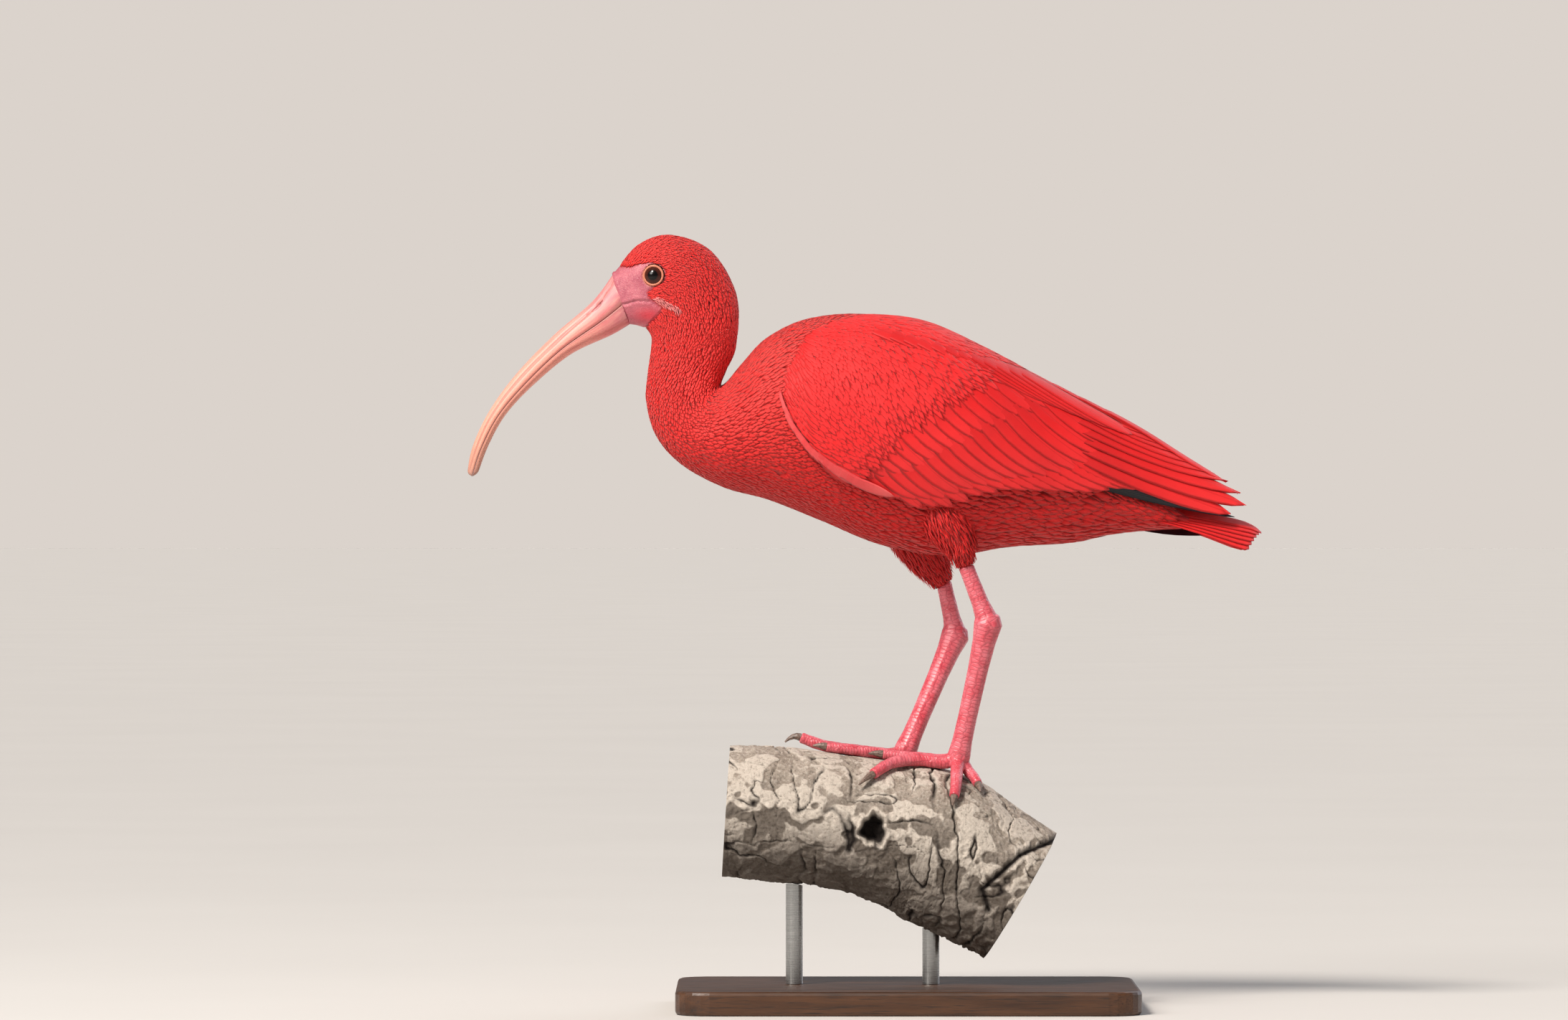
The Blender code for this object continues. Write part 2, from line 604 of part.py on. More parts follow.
def bill_half(name, upper, where):
    """One half of the bill, a half ring over or under the line of the mouth, short of it by half the gap."""
    rings = []
    rows = [(*culmen, *mouth, *chin, half) for culmen, mouth, chin, half in BILL]
    for i in range(BILL_RINGS + 1):
        values = smooth_along(rows, i / BILL_RINGS * (len(rows) - 1))
        culmen, mouth, chin = (Vector((values[k], 0.0, values[k + 1])) for k in (0, 2, 4))
        half = values[6]
        far = culmen if upper else chin
        up = (culmen - chin).normalized()
        away = Vector((0.0, 1.0, 0.0)).cross(up)
        start = mouth + up * (GAP / 2 if upper else -GAP / 2) - away * (GAP / 2 if i == 0 else 0.0)
        rise = far - mouth
        ring = []
        for k in range(BILL_SIDES + 1):
            a = math.pi * k / BILL_SIDES
            away_from_it = (abs(math.cos(a)) - BILL_GROOVE["out"]) / BILL_GROOVE["wide"]
            groove = 1 - BILL_GROOVE["deep"] * math.exp(-away_from_it ** 2)
            aside = Vector((0.0, half * math.cos(a) * groove, 0.0))
            ring.append(start + rise * (math.sin(a) * groove) + aside)
        rings.append(ring)
    return loft(name, rings, where)


def bill_half_at(x, z):
    """How far out the upper bill's side is at this place in side view."""
    rows = [(*culmen, *mouth, half) for culmen, mouth, _, half in BILL]
    best = (1e9, 0.0)
    for i in range(SEARCH_STEPS):
        culmen_x, culmen_z, mouth_x, mouth_z, half = smooth_along(rows, (len(rows) - 1) * i / SEARCH_STEPS)
        run = Vector((culmen_x - mouth_x, culmen_z - mouth_z))
        f = Vector((x - mouth_x, z - mouth_z)).dot(run) / run.length_squared
        miss = (Vector((mouth_x, mouth_z)) + run * f - Vector((x, z))).length
        best = min(best, (miss, half * math.sqrt(max(0.0, 1 - f * f))))
    return best[1]


def bill_upper(where, cutters):
    """The upper bill with its two nostril slits."""
    made = bill_half("bill_upper", True, where)
    slits = []
    for name, side in SIDES.items():
        path = [(x, side * bill_half_at(x, z), z) for x, z in NOSTRIL["slit"]]
        slits.append(tube(f"nostril_{name}", path, [NOSTRIL["radius"]] * len(path), cutters))
    combine(made, slits, "DIFFERENCE")
    return made


def eye_centre(side):
    """The middle of the eyeball, set so deep that the opening's rim lies at the skin."""
    rim = Vector((EYE["x"], side * skin_half(EYE["x"], EYE["z"]), EYE["z"]))
    return rim - eye_look(side) * math.sqrt(EYE["ball"] ** 2 - EYE["opening"] ** 2)


def eye_look(side):
    """Which way this eye looks."""
    return Vector((-math.sin(EYE["turn"]), side * math.cos(EYE["turn"]), EYE["rise"])).normalized()


def ball(name, centre, radius, where, segments=14, rings=8):
    mesh = bpy.data.meshes.new(name)
    form = bmesh.new()
    bmesh.ops.create_uvsphere(form, u_segments=segments, v_segments=rings, radius=radius * MM)
    form.to_mesh(mesh)
    form.free()
    made = bpy.data.objects.new(name, mesh)
    made.location = Vector(centre) * MM
    where.objects.link(made)
    return made


def lid_ring(name, side, where):
    """The lids as one soft ring round the eye, its upper part a little heavier."""
    look = eye_look(side)
    rim = eye_centre(side) + look * math.sqrt(EYE["ball"] ** 2 - EYE["opening"] ** 2)
    level = Vector((0.0, 0.0, 1.0)).cross(look).normalized()
    rise = look.cross(level)
    rings = []
    for i in range(LID_SIDES):
        a = 2 * math.pi * i / LID_SIDES
        out = level * math.cos(a) + rise * math.sin(a)
        thick = EYE["lid"] * (1.0 + EYE["upper_heavier"] * max(0.0, math.sin(a)))
        middle = rim + out * (EYE["opening"] + EYE["lid"] / 2)
        ring = []
        for k in range(LID_ROUND):
            b = 2 * math.pi * k / LID_ROUND
            ring.append(middle + out * (thick * math.cos(b)) + look * (thick * LID_FLAT * math.sin(b)))
        rings.append(ring)
    points = [point for ring in rings for point in ring]
    faces = []
    for i in range(LID_SIDES):
        for k in range(LID_ROUND):
            a, b = i * LID_ROUND, (i + 1) % LID_SIDES * LID_ROUND
            faces.append((a + k, a + (k + 1) % LID_ROUND, b + (k + 1) % LID_ROUND, b + k))
    return add_mesh(name, points, faces, where)


def head(where, cutters):
    """The head, with its lids, its eye sockets and the line of the mouth run back to its corners."""
    made = body_length("head", 0.0, HEAD_END, HEAD_RINGS, where)
    combine(made, [lid_ring(f"lid_{name}", side, cutters) for name, side in SIDES.items()], "UNION")
    tools = []
    for name, side in SIDES.items():
        tools.append(ball(f"socket_{name}", eye_centre(side), EYE["ball"] + GAP, cutters))
        path = []
        for x, z in MOUTH_CORNER:
            path.append((x, side * (skin_half(x, z) + MOUTH_PROUD), z))
        tools.append(tube(f"mouth_{name}", path, [MOUTH_RADIUS] * len(path), cutters))
    combine(made, tools, "DIFFERENCE")
    return made


def skin_half(x, z):
    """How far out the head's skin is at this place in side view."""
    rows = [(*low, *high, half) for low, high, half in BODY]
    best = (1e9, 0.0)
    for i in range(SEARCH_STEPS):
        low_x, low_z, high_x, high_z, half = smooth_along(rows, HEAD_END * i / SEARCH_STEPS)
        run = Vector((high_x - low_x, high_z - low_z))
        f = Vector((x - low_x, z - low_z)).dot(run) / run.length_squared
        miss = (Vector((low_x, low_z)) + run * f - Vector((x, z))).length
        best = min(best, (miss, half * math.sqrt(max(0.0, 1 - (2 * f - 1) ** 2))))
    return best[1]


def limb_ring(t, grow=0.0):
    """The limb's ring at t rows along it: middle, the directions up and along, and the radius."""
    x, z, radius = smooth_along(LIMB, t)
    ahead_x, ahead_z, _ = smooth_along(LIMB, t + AHEAD)
    behind_x, behind_z, _ = smooth_along(LIMB, t - AHEAD)
    along = Vector((ahead_x - behind_x, 0.0, ahead_z - behind_z)).normalized()
    up = Vector((-along.z, 0.0, along.x))
    return Vector((x, 0.0, z)), up, along, radius + grow


def limb_wave(t, angle):
    """Low swells of the bark's surface, none of them on top where the feet stand."""
    swell = sum(height * math.sin(count * angle + twist * t) for height, count, twist in SWELLS)
    return swell * math.sin(angle / 2)


def limb_point(x, angle, height):
    """The place over the limb that is at x, at an angle from the top towards the bird's left."""
    low, high = -1.0, float(len(LIMB))
    for _ in range(HALVINGS):
        t = (low + high) / 2
        middle, up, _, radius = limb_ring(t)
        spot = middle + up * ((radius + height) * math.cos(angle))
        if spot.x < x:
            low = t
        else:
            high = t
    return spot + Vector((0.0, -(radius + height) * math.sin(angle), 0.0))


def limb(name, where, grow=0.0):
    rings = []
    for i in range(LIMB_STATIONS + 1):
        t = i / LIMB_STATIONS * (len(LIMB) - 1)
        middle, up, along, radius = limb_ring(t, grow)
        middle += along * (grow * ((i == LIMB_STATIONS) - (i == 0)))
        ring = []
        for k in range(LIMB_SIDES):
            angle = 2 * math.pi * k / LIMB_SIDES
            r = radius + limb_wave(t, angle)
            ring.append(middle + up * (r * math.cos(angle)) - Vector((0.0, r * math.sin(angle), 0.0)))
        rings.append(ring)
    return loft(name, rings, where)


def toe_path(side_name, toe):
    """Points along the toe from the foot joint over the bark, and its radius at each."""
    root, end = TOE_RADII[toe]
    knots = [FOOT_JOINTS[side_name]]
    rows = TOES[side_name][toe]
    for i, (x, degrees, arch) in enumerate(rows):
        radius = root + (end - root) * (i + 1) / len(rows)
        knots.append(tuple(limb_point(x, math.radians(degrees), radius * TOE_SEAT + arch)))
    return knots


def toe(name, side_name, toe_name, where, grow=0.0):
    """A toe with low rings of scutes over its back, from the foot joint to the claw."""
    knots = toe_path(side_name, toe_name)[:-1]
    root, end = TOE_RADII[toe_name]
    points, radii = [], []
    for i in range(TOE_STEPS + 1):
        f = i / TOE_STEPS
        points.append(Vector(smooth_along(knots, f * (len(knots) - 1))))
        radii.append(root + (end - root) * f + SCUTE * (i % 2) + grow)
    if grow:
        along = (points[-1] - points[-2]).normalized()
        points[-1] += along * grow
    return tube(name, points, radii, where)


def claw(name, side_name, toe_name, where):
    """A curved claw from the toe's end, face to face with it."""
    knots = [Vector(p) for p in toe_path(side_name, toe_name)]
    tip, before = knots[-1], knots[-2]
    run = (before - knots[-3]).normalized()
    start = before + run * GAP
    bend = start + run * ((tip - start).length / 2) + Vector((0.0, 0.0, CLAW["arch"]))
    thick, thin = CLAW["radii"]
    points, radii = [], []
    for i in range(CLAW["steps"] + 1):
        f = i / CLAW["steps"]
        points.append(start * (1 - f) ** 2 + bend * 2 * f * (1 - f) + tip * f * f)
        radii.append(thick + (thin - thick) * f ** CLAW["taper"])
    return tube(name, points, radii, where)


def thigh_rod(name, side_name, where, grow=0.0):
    steps = THIGH_STEPS * (len(THIGHS[side_name]) - 1)
    rows = [smooth_along(THIGHS[side_name], i / THIGH_STEPS) for i in range(steps + 1)]
    points = [Vector(row[:3]) for row in rows]
    points[-1] += (points[-1] - points[-2]).normalized() * grow
    return tube(name, points, [row[3] + grow for row in rows], where, 3)


def tarsus_rod(name, side_name, where, grow=0.0):
    heel, joint = Vector(HEELS[side_name]), Vector(FOOT_JOINTS[side_name])
    stations = list(TARSUS_STATIONS)
    if grow:
        further = grow / (joint - heel).length
        stations[0] -= further
        stations[-1] += further
    points = [heel.lerp(joint, f) for f in stations]
    return tube(name, points, [radius + grow for radius in TARSUS_RADII], where, 3)


def leg(side_name, where, cutters):
    """One leg: feathered thigh, bare shank, long tarsus, four toes and their claws."""
    thigh = thigh_rod(f"thigh_{side_name}", side_name, where)
    roof = box("roof", THIGH_ROOF["low"], THIGH_ROOF["high"], cutters)
    combine(thigh, [torso_clear(cutters), roof], "DIFFERENCE")
    dress(thigh, "plumage")

    start, heel = Vector(THIGHS[side_name][-1][:3]), Vector(HEELS[side_name])
    shank = tube(f"shank_{side_name}", [start.lerp(heel, f) for f in SHANK_STATIONS], SHANK_RADII, where, 3)
    above = thigh_rod("thigh_clear", side_name, cutters, GAP)
    below = tarsus_rod("tarsus_clear", side_name, cutters, GAP)
    combine(shank, [above, below], "DIFFERENCE")
    dress(shank, "leg_skin")

    tarsus = tarsus_rod(f"tarsus_{side_name}", side_name, where)
    combine(tarsus, [limb("limb_clear", cutters, GAP)], "DIFFERENCE")
    dress(tarsus, "leg_skin")

    for i, toe_name in enumerate(TOE_RADII):
        made = toe(f"toe_{side_name}_{toe_name}", side_name, toe_name, where)
        clear = [limb("limb_clear", cutters, GAP), tarsus_rod("tarsus_clear", side_name, cutters, GAP)]
        for other in list(TOE_RADII)[:i]:
            clear.append(toe(f"{other}_clear", side_name, other, cutters, GAP))
        combine(made, clear, "DIFFERENCE")
        dress(made, "leg_skin")
        nail = claw(f"claw_{side_name}_{toe_name}", side_name, toe_name, where)
        combine(nail, [limb("limb_clear", cutters, GAP)], "DIFFERENCE")
        dress(nail, "claw")


def torso_clear(where):
    return body_length("torso_clear", NECK_END, TORSO_END, TORSO_RINGS, where, GAP)


def flesh_clear(name, side, where):
    """The torso's space with the gap, less the bed of this wing's fleshy part."""
    made = torso_clear(where)
    combine(made, [wing_core(f"bed_{name}", side, where, BED_SLACK)], "DIFFERENCE", "MANIFOLD")
    return made


def box(name, low, high, where):
    mesh = bpy.data.meshes.new(name)
    form = bmesh.new()
    bmesh.ops.create_cube(form, size=1.0)
    low, high = Vector(low), Vector(high)
    middle, size = (low + high) / 2, high - low
    for corner in form.verts:
        corner.co = (middle + corner.co * size) * MM
    form.to_mesh(mesh)
    form.free()
    made = bpy.data.objects.new(name, mesh)
    where.objects.link(made)
    return made


def torso(where, cutters):
    made = body_length("torso", NECK_END, TORSO_END, TORSO_RINGS, where)
    beds = [wing_core(f"bed_{name}", side, cutters, GAP) for name, side in SIDES.items()]
    beds.append(ridge_bed(cutters))
    combine(made, beds, "DIFFERENCE")
    return made


def ridge_bed(where):
    """The strip along the back between the two wings, cut as deep as their beds."""
    rings = []
    half, top = RIDGE_BED["half"], RIDGE_BED["top"]
    for x in RIDGE_BED["x"]:
        floor = wing_point(x, 0.0, CORE_DEPTH - GAP, 1).z
        corners = ((-half, floor), (half, floor), (half, top), (-half, top))
        rings.append([Vector((x, y, z)) for y, z in corners])
    return loft("ridge_bed", rings, where)


def tail(where):
    made = body_length("tail", TORSO_END, TAIL_CORE_END, TAIL_RINGS, where)
    vanes = [tail_vane("tail_middle", 0, 1, where)]
    for pair in range(1, TAIL["pairs"] + 1):
        for name, side in SIDES.items():
            vanes.append(tail_vane(f"tail_{name}_{pair}", pair, side, where))
    combine(made, vanes, "UNION", "MANIFOLD")
    return made


def perch(where, cutters):
    made = limb("perch", where)
    spot = limb_point(KNOT["x"], math.radians(KNOT["angle"]), 0.0)
    _, middle_z, _ = at_x(LIMB, KNOT["x"])
    inward = (Vector((spot.x, 0.0, middle_z)) - spot).normalized()
    ends = [spot - inward * KNOT["outside"], spot + inward * KNOT["depth"]]
    hole = tube("knot", ends, [KNOT["mouth"], KNOT["bottom"]], cutters, 3)
    combine(made, [hole], "DIFFERENCE")
    return made


def stand(where, cutters):
    """The flat base and the two rods that carry the limb."""
    long, wide, high = BASE["length"], BASE["width"], BASE["height"]
    made = box("stand_base", (-long / 2, -wide / 2, 0.0), (long / 2, wide / 2, high), where)
    form = bmesh.new()
    form.from_mesh(made.data)
    upright = [e for e in form.edges if abs(e.verts[0].co.z - e.verts[1].co.z) > MM]
    bmesh.ops.bevel(form, geom=upright, offset=BASE["corner"] * MM, segments=BASE["steps"], affect="EDGES",
                    profile=0.5)
    form.to_mesh(made.data)
    form.free()
    soften = made.modifiers.new("edge", "BEVEL")
    soften.width = BASE["edge"] * MM
    soften.segments = 2
    soften.limit_method = "ANGLE"
    soften.angle_limit = math.radians(60)
    dress(made, "wood", 30.0)
    for name, x in RODS.items():
        foot = high + GAP
        top = LIMB[0][1]
        bpy.ops.mesh.primitive_cylinder_add(vertices=ROD_SIDES, radius=ROD_RADIUS * MM, depth=(top - foot) * MM,
                                            location=Vector((x, 0.0, (top + foot) / 2)) * MM)
        rod = bpy.context.object
        rod.name = f"stand_rod_{name}"
        rod.data.name = rod.name
        for home in list(rod.users_collection):
            home.objects.unlink(rod)
        where.objects.link(rod)
        combine(rod, [limb("limb_clear", cutters, GAP)], "DIFFERENCE")
        dress(rod, "steel")


def main():
    clear_scene()
    bird = collection("scarlet_ibis")
    cutters = collection("cutters")
    cutters.hide_render = True

    dress(head(bird, cutters), "plumage")
    dress(body_length("neck_upper", HEAD_END, NECK_SPLIT, NECK_RINGS[0], bird), "plumage")
    dress(body_length("neck_lower", NECK_SPLIT, NECK_END, NECK_RINGS[1], bird), "plumage")
    dress(torso(bird, cutters), "plumage")
    dress(bill_upper(bird, cutters), "bill")
    dress(bill_half("bill_lower", False, bird), "bill")
    for name, side in SIDES.items():
        dress(ball(f"eye_{name}", eye_centre(side), EYE["ball"], bird), "eye")
        made = wing(f"wing_{name}", side, bird)
        combine(made, [tail_clear(cutters), flesh_clear(name, side, cutters)], "DIFFERENCE", "MANIFOLD")
        dress(made, "plumage")
    dress(tail(bird), "plumage")
    dress(perch(bird, cutters), "bark")
    for side_name in SIDES:
        leg(side_name, bird, cutters)
    stand(bird, cutters)


main()
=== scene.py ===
"""Scarlet ibis, a life-size museum model on a cut length of limb: its looks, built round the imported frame.

The bird faces -X with its left side to -Y, +Z is up, and the origin is the middle of the base's underside.
Sizes are in millimetres and are turned to metres where a mesh is made.
"""

import math

import bmesh
import bpy
import numpy as np
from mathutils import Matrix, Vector, noise


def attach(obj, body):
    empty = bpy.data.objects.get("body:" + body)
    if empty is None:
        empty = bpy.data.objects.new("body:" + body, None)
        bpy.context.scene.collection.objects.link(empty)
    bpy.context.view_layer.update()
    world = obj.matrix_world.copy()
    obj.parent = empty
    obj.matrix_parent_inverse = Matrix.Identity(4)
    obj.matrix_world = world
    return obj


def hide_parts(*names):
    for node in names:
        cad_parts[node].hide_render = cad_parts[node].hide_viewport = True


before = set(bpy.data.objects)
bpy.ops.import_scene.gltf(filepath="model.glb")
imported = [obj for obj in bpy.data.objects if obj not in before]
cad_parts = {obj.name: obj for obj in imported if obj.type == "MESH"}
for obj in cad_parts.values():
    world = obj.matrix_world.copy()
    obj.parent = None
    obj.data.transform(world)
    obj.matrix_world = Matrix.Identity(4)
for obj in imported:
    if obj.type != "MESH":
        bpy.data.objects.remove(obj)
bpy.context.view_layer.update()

MM = 0.001
SIDES = {"left": -1, "right": 1}

# Sizes of the bird's form, as in the solids

# Body stations from the bill root to the tail: throat or belly line (x, z), crown or back line (x, z), half width.
BODY = [
    ((-162.5, 400.4), (-170.9, 431.4), 9.5),
    ((-155.0, 398.4), (-157.5, 447.0), 15.0),
    ((-151.8, 396.6), (-138.5, 452.8), 18.2),
    ((-149.7, 392.5), (-114.5, 443.2), 19.0),
    ((-150.0, 386.0), (-99.6, 417.0), 19.0),
    ((-152.2, 369.5), (-99.9, 388.0), 18.5),
    ((-152.9, 355.0), (-105.6, 373.5), 19.8),
    ((-147.0, 334.8), (-108.8, 365.2), 25.0),
    ((-132.0, 318.0), (-106.2, 365.9), 33.0),
    ((-107.1, 304.6), (-96.2, 378.1), 41.0),
    ((-81.0, 297.4), (-81.5, 393.0), 46.5),
    ((-50.4, 285.3), (-56.7, 404.1), 50.0),
    ((-15.0, 271.0), (-20.0, 406.0), 50.5),
    ((23.1, 264.7), (18.9, 393.6), 47.0),
    ((60.0, 269.8), (56.0, 370.0), 41.5),
    ((96.0, 272.2), (92.0, 345.0), 33.5),
    ((122.0, 277.4), (119.0, 322.0), 25.0),
    ((150.0, 280.0), (150.0, 299.0), 17.5),
    ((170.0, 280.4), (170.0, 287.0), 12.0),
]
HEAD_END, NECK_SPLIT, NECK_END, TORSO_END, TAIL_END = 4.3, 5.6, 7.6, 15.0, 18.0

# Bill stations: culmen, line of the mouth and underside (x, z), and half the width at the mouth line.
BILL = [
    ((-170.9, 431.4), (-166.7, 411.7), (-162.5, 400.4), 9.2),
    ((-184.0, 413.8), (-179.5, 401.6), (-173.5, 394.0), 7.9),
    ((-207.5, 393.2), (-203.5, 384.5), (-197.0, 382.8), 6.2),
    ((-228.9, 371.0), (-224.7, 364.2), (-219.5, 364.3), 5.0),
    ((-244.5, 349.5), (-239.8, 346.0), (-235.3, 347.2), 4.2),
    ((-254.2, 329.0), (-249.6, 327.0), (-245.2, 329.5), 3.3),
    ((-257.6, 312.5), (-254.6, 311.3), (-251.6, 312.6), 2.2),
]
NOSTRIL = [(-184.2, 408.0), (-181.0, 410.6), (-178.0, 414.0)]
EYE = {"x": -148.3, "z": 428.5, "ball": 8.0, "opening": 5.3, "turn": math.radians(12), "rise": 0.06}
MOUTH_CORNER = [(-172.0, 408.5), (-167.5, 411.2), (-158.0, 413.6), (-150.0, 413.2), (-144.9, 409.6)]

# The surface of the folded wings: x, back line, height of the widest point, half the width.
WING = [
    (-80.0, 394.0, 347.0, 46.5),
    (-50.0, 402.0, 343.5, 51.5),
    (-20.0, 404.0, 340.0, 54.0),
    (10.0, 400.0, 334.0, 54.0),
    (40.0, 387.0, 328.0, 50.5),
    (70.0, 372.0, 320.0, 44.0),
    (100.0, 357.0, 312.0, 36.0),
    (135.0, 339.5, 304.0, 26.5),
    (170.0, 318.5, 295.0, 18.5),
    (210.0, 296.0, 286.0, 11.0),
]
MIDLINE = 0.35

# Where the coverts' flow points, in degrees below the level towards the tail, over the wing from the side:
# rows by x, and in each row from the wing's lower edge (0) to the back line (1) in even steps.
FLOW_X = (-75.0, -35.0, 0.0, 50.0, 80.0, 105.0, 130.0, 200.0)
FLOW = [
    (44.0, 52.0, 58.0, 52.0, 38.0, 18.0),
    (34.0, 46.0, 62.0, 66.0, 48.0, 10.0),
    (22.0, 40.0, 60.0, 66.0, 50.0, 8.0),
    (20.0, 27.0, 42.0, 52.0, 40.0, 22.0),
    (14.0, 22.0, 33.0, 38.0, 32.0, 27.0),
    (8.0, 14.0, 26.0, 30.0, 27.0, 26.0),
    (8.0, 14.0, 20.0, 25.0, 27.0, 27.0),
    (20.0, 20.0, 22.0, 24.0, 26.0, 26.0),
]
# The lower edge of the folded wing from the side, and the front line where its coverts begin.
WING_EDGE = [(-74.0, 362.0), (-71.8, 355.0), (-68.5, 343.2), (-57.1, 329.0), (-43.7, 316.4), (-26.9, 304.2),
             (-12.2, 300.5), (14.0, 292.0), (29.0, 294.5), (45.0, 302.5), (63.0, 305.0), (98.7, 301.2),
             (127.7, 302.0), (150.0, 297.5), (189.8, 286.5), (205.0, 284.0)]
WING_FRONT = ((-74.0, -72.0, -66.0, -56.0, -40.0), (362.0, 374.0, 386.0, 397.0, 405.0))
# The lower rear limit of the small coverts' roots; below it lie the long feathers.
SMALL_END = [(-76.0, 352.0), (-60.0, 325.0), (-46.0, 315.0), (-34.0, 318.0), (-10.0, 347.0), (30.0, 371.0),
             (62.0, 378.0), (90.0, 363.0)]
FLESH = [(-73.0, 357.0, 366.0), (-67.0, 341.5, 382.0), (-61.0, 331.0, 390.0), (-53.0, 323.0, 397.0),
         (-43.0, 315.0, 402.0), (-32.0, 307.5, 404.0), (0.0, 298.5, 402.0), (20.0, 297.5, 396.0),
         (42.0, 305.0, 386.0), (64.0, 314.0, 375.0), (86.0, 319.0, 364.0), (104.0, 323.0, 355.0)]

# Outlines of a feather from root to tip: how far along, and the share of its width there.
POINTED = ((0.0, 0.35), (0.1, 0.6), (0.28, 0.88), (0.5, 1.0), (0.7, 0.92), (0.84, 0.7), (0.94, 0.4), (1.0, 0.06))
ROUNDED = ((0.0, 0.4), (0.1, 0.7), (0.28, 0.95), (0.55, 1.0), (0.8, 0.93), (0.91, 0.74), (0.97, 0.48), (1.0, 0.14))
TUFT = ((0.0, 0.55), (0.35, 1.0), (0.75, 0.82), (1.0, 0.08))
HAIRY = ((0.0, 0.6), (0.3, 1.0), (0.65, 0.6), (1.0, 0.04))
LANCE = ((0.0, 0.4), (0.2, 0.8), (0.45, 1.0), (0.65, 0.85), (0.85, 0.45), (1.0, 0.06))
COVERT = ((0.0, 0.5), (0.3, 0.92), (0.6, 1.0), (0.84, 0.8), (0.95, 0.5), (1.0, 0.14))

# Long feathers of a wing: name, count, line of the roots, line of the tips, half width, lift of the upper and
# the lower edge off the wing's surface, how much the tip settles, how far a feather bows down, and the outline.
# Lines are (x, z) from the side. Those of the ridge are (x, y) from above.
TIERS = [
    ("primary", 6, [(82.0, 316.0), (95.0, 309.5)], [(150.0, 300.0), (191.5, 286.6)],
     2.9, -2.9, -2.1, 0.0, 0.0, POINTED),
    ("secondary", 15, [(-14.0, 326.0), (72.0, 345.0)],
     [(8.0, 293.0), (26.0, 293.5), (46.0, 300.5), (64.0, 304.5), (98.7, 302.4), (135.5, 304.6)],
     6.2, -0.4, 0.0, 0.0, 8.0, POINTED),
    ("tertial", 9, [(84.0, 331.0), (80.0, 342.0), (74.0, 356.0), (66.0, 371.0), (52.0, 380.0)],
     [(189.3, 289.2), (199.6, 295.6), (191.0, 306.2), (172.0, 317.3), (146.0, 332.6)],
     7.4, -0.7, 0.9, 0.0, 2.0, POINTED),
    ("greater_covert", 16, [(-34.0, 333.0), (10.0, 354.0), (62.0, 377.0)],
     [(-2.0, 299.0), (22.0, 298.0), (60.0, 308.5), (96.0, 313.0), (124.0, 327.0)],
     7.4, 0.9, 1.2, 1.2, 9.0, POINTED),
    ("median_covert", 18, [(-52.0, 336.0), (-8.0, 366.0), (42.0, 387.0)],
     [(-30.0, 308.0), (6.0, 313.0), (46.0, 331.0), (88.0, 350.0)],
     7.4, 1.65, 1.9, 1.2, 7.0, POINTED),
    ("scapular", 12, [(-30.0, 400.0), (6.0, 396.0), (44.0, 384.0)],
     [(26.0, 381.0), (62.0, 364.0), (100.0, 347.0), (132.0, 335.0)],
     6.4, 2.3, 2.8, 1.7, 2.0, ROUNDED),
    ("marginal", 17, [(-74.5, 362.0), (-71.0, 348.0), (-62.5, 334.0), (-49.0, 320.5), (-40.0, 313.5)],
     [(-71.0, 349.0), (-62.0, 333.0), (-47.0, 317.0), (-30.0, 306.5), (-8.0, 300.6)],
     (1.1, 3.8), 2.4, 1.6, 0.6, 1.0, POINTED),
    ("ridge", 7, [(6.0, 6.0), (92.0, 5.0)], [(74.0, 6.5), (186.0, 4.4)], 6.0, 1.6, 1.9, 1.5, 0.0, ROUNDED),
]
# The right wing hangs a little lower, so its black tips show under the tail.
LOW_PRIMARIES = [("primary", 4, [(84.0, 307.0), (92.0, 300.0)], [(178.0, 281.0), (187.0, 276.8)],
                  3.4, -1.6, -1.2, 0.0, 14.0, POINTED)]
TAIL = {"pairs": 5, "root": (112.0, 297.0), "tip": (207.5, 279.2), "middle_half": 10.0, "half": 8.5,
        "fan": 2.1, "start": 1.5, "inmost": 0.4, "layer": 0.6, "slope": 0.42, "shorter": 1.6, "bow": 4.6}

# Legs: points of the feathered thigh (x, y, z, radius), then the heel and the foot joint (x, y, z).
THIGHS = {
    "left": [(13.0, -20.0, 303.0, 14.0), (22.0, -25.0, 286.5, 15.5), (29.5, -27.0, 272.5, 11.2),
             (34.0, -27.0, 258.8, 5.6)],
    "right": [(-6.0, 20.0, 300.0, 14.0), (3.0, 25.5, 280.0, 16.0), (13.5, 28.0, 262.0, 12.3),
              (22.3, 28.5, 247.9, 6.4)],
}
HEELS = {"left": (47.0, -25.0, 225.6), "right": (29.0, 29.0, 218.2)}
FOOT_JOINTS = {"left": (30.2, -9.0, 147.5), "right": (-0.4, 14.0, 150.9)}
TOE_NAMES = ("middle", "outer", "inner", "hind")

# The limb's middle line and radius, from its left cut end to its right one: x, z, radius.
LIMB = [
    (-106.0, 115.5, 38.6),
    (-78.0, 113.7, 40.0),
    (-38.0, 108.5, 39.8),
    (-11.0, 103.0, 42.0),
    (8.5, 98.0, 44.4),
    (24.0, 91.0, 45.8),
    (41.5, 80.0, 44.4),
    (66.0, 65.5, 43.0),
]
KNOT = {"x": -20.0, "z": 106.0, "radius": 7.0, "depth": 9.0}

# The edge of the bare face from the side, as (x, z).
BARE_FACE = [(-185.0, 440.0), (-170.0, 434.4), (-162.1, 433.4), (-156.0, 435.4), (-149.9, 436.4), (-144.6, 435.0),
             (-141.7, 431.7), (-141.4, 427.6), (-143.1, 424.2), (-148.4, 421.6), (-152.0, 418.5), (-151.2, 415.2),
             (-147.5, 413.2), (-143.6, 409.6), (-145.0, 406.2), (-149.9, 401.6), (-155.0, 396.0), (-185.0, 390.0)]


# Surfaces

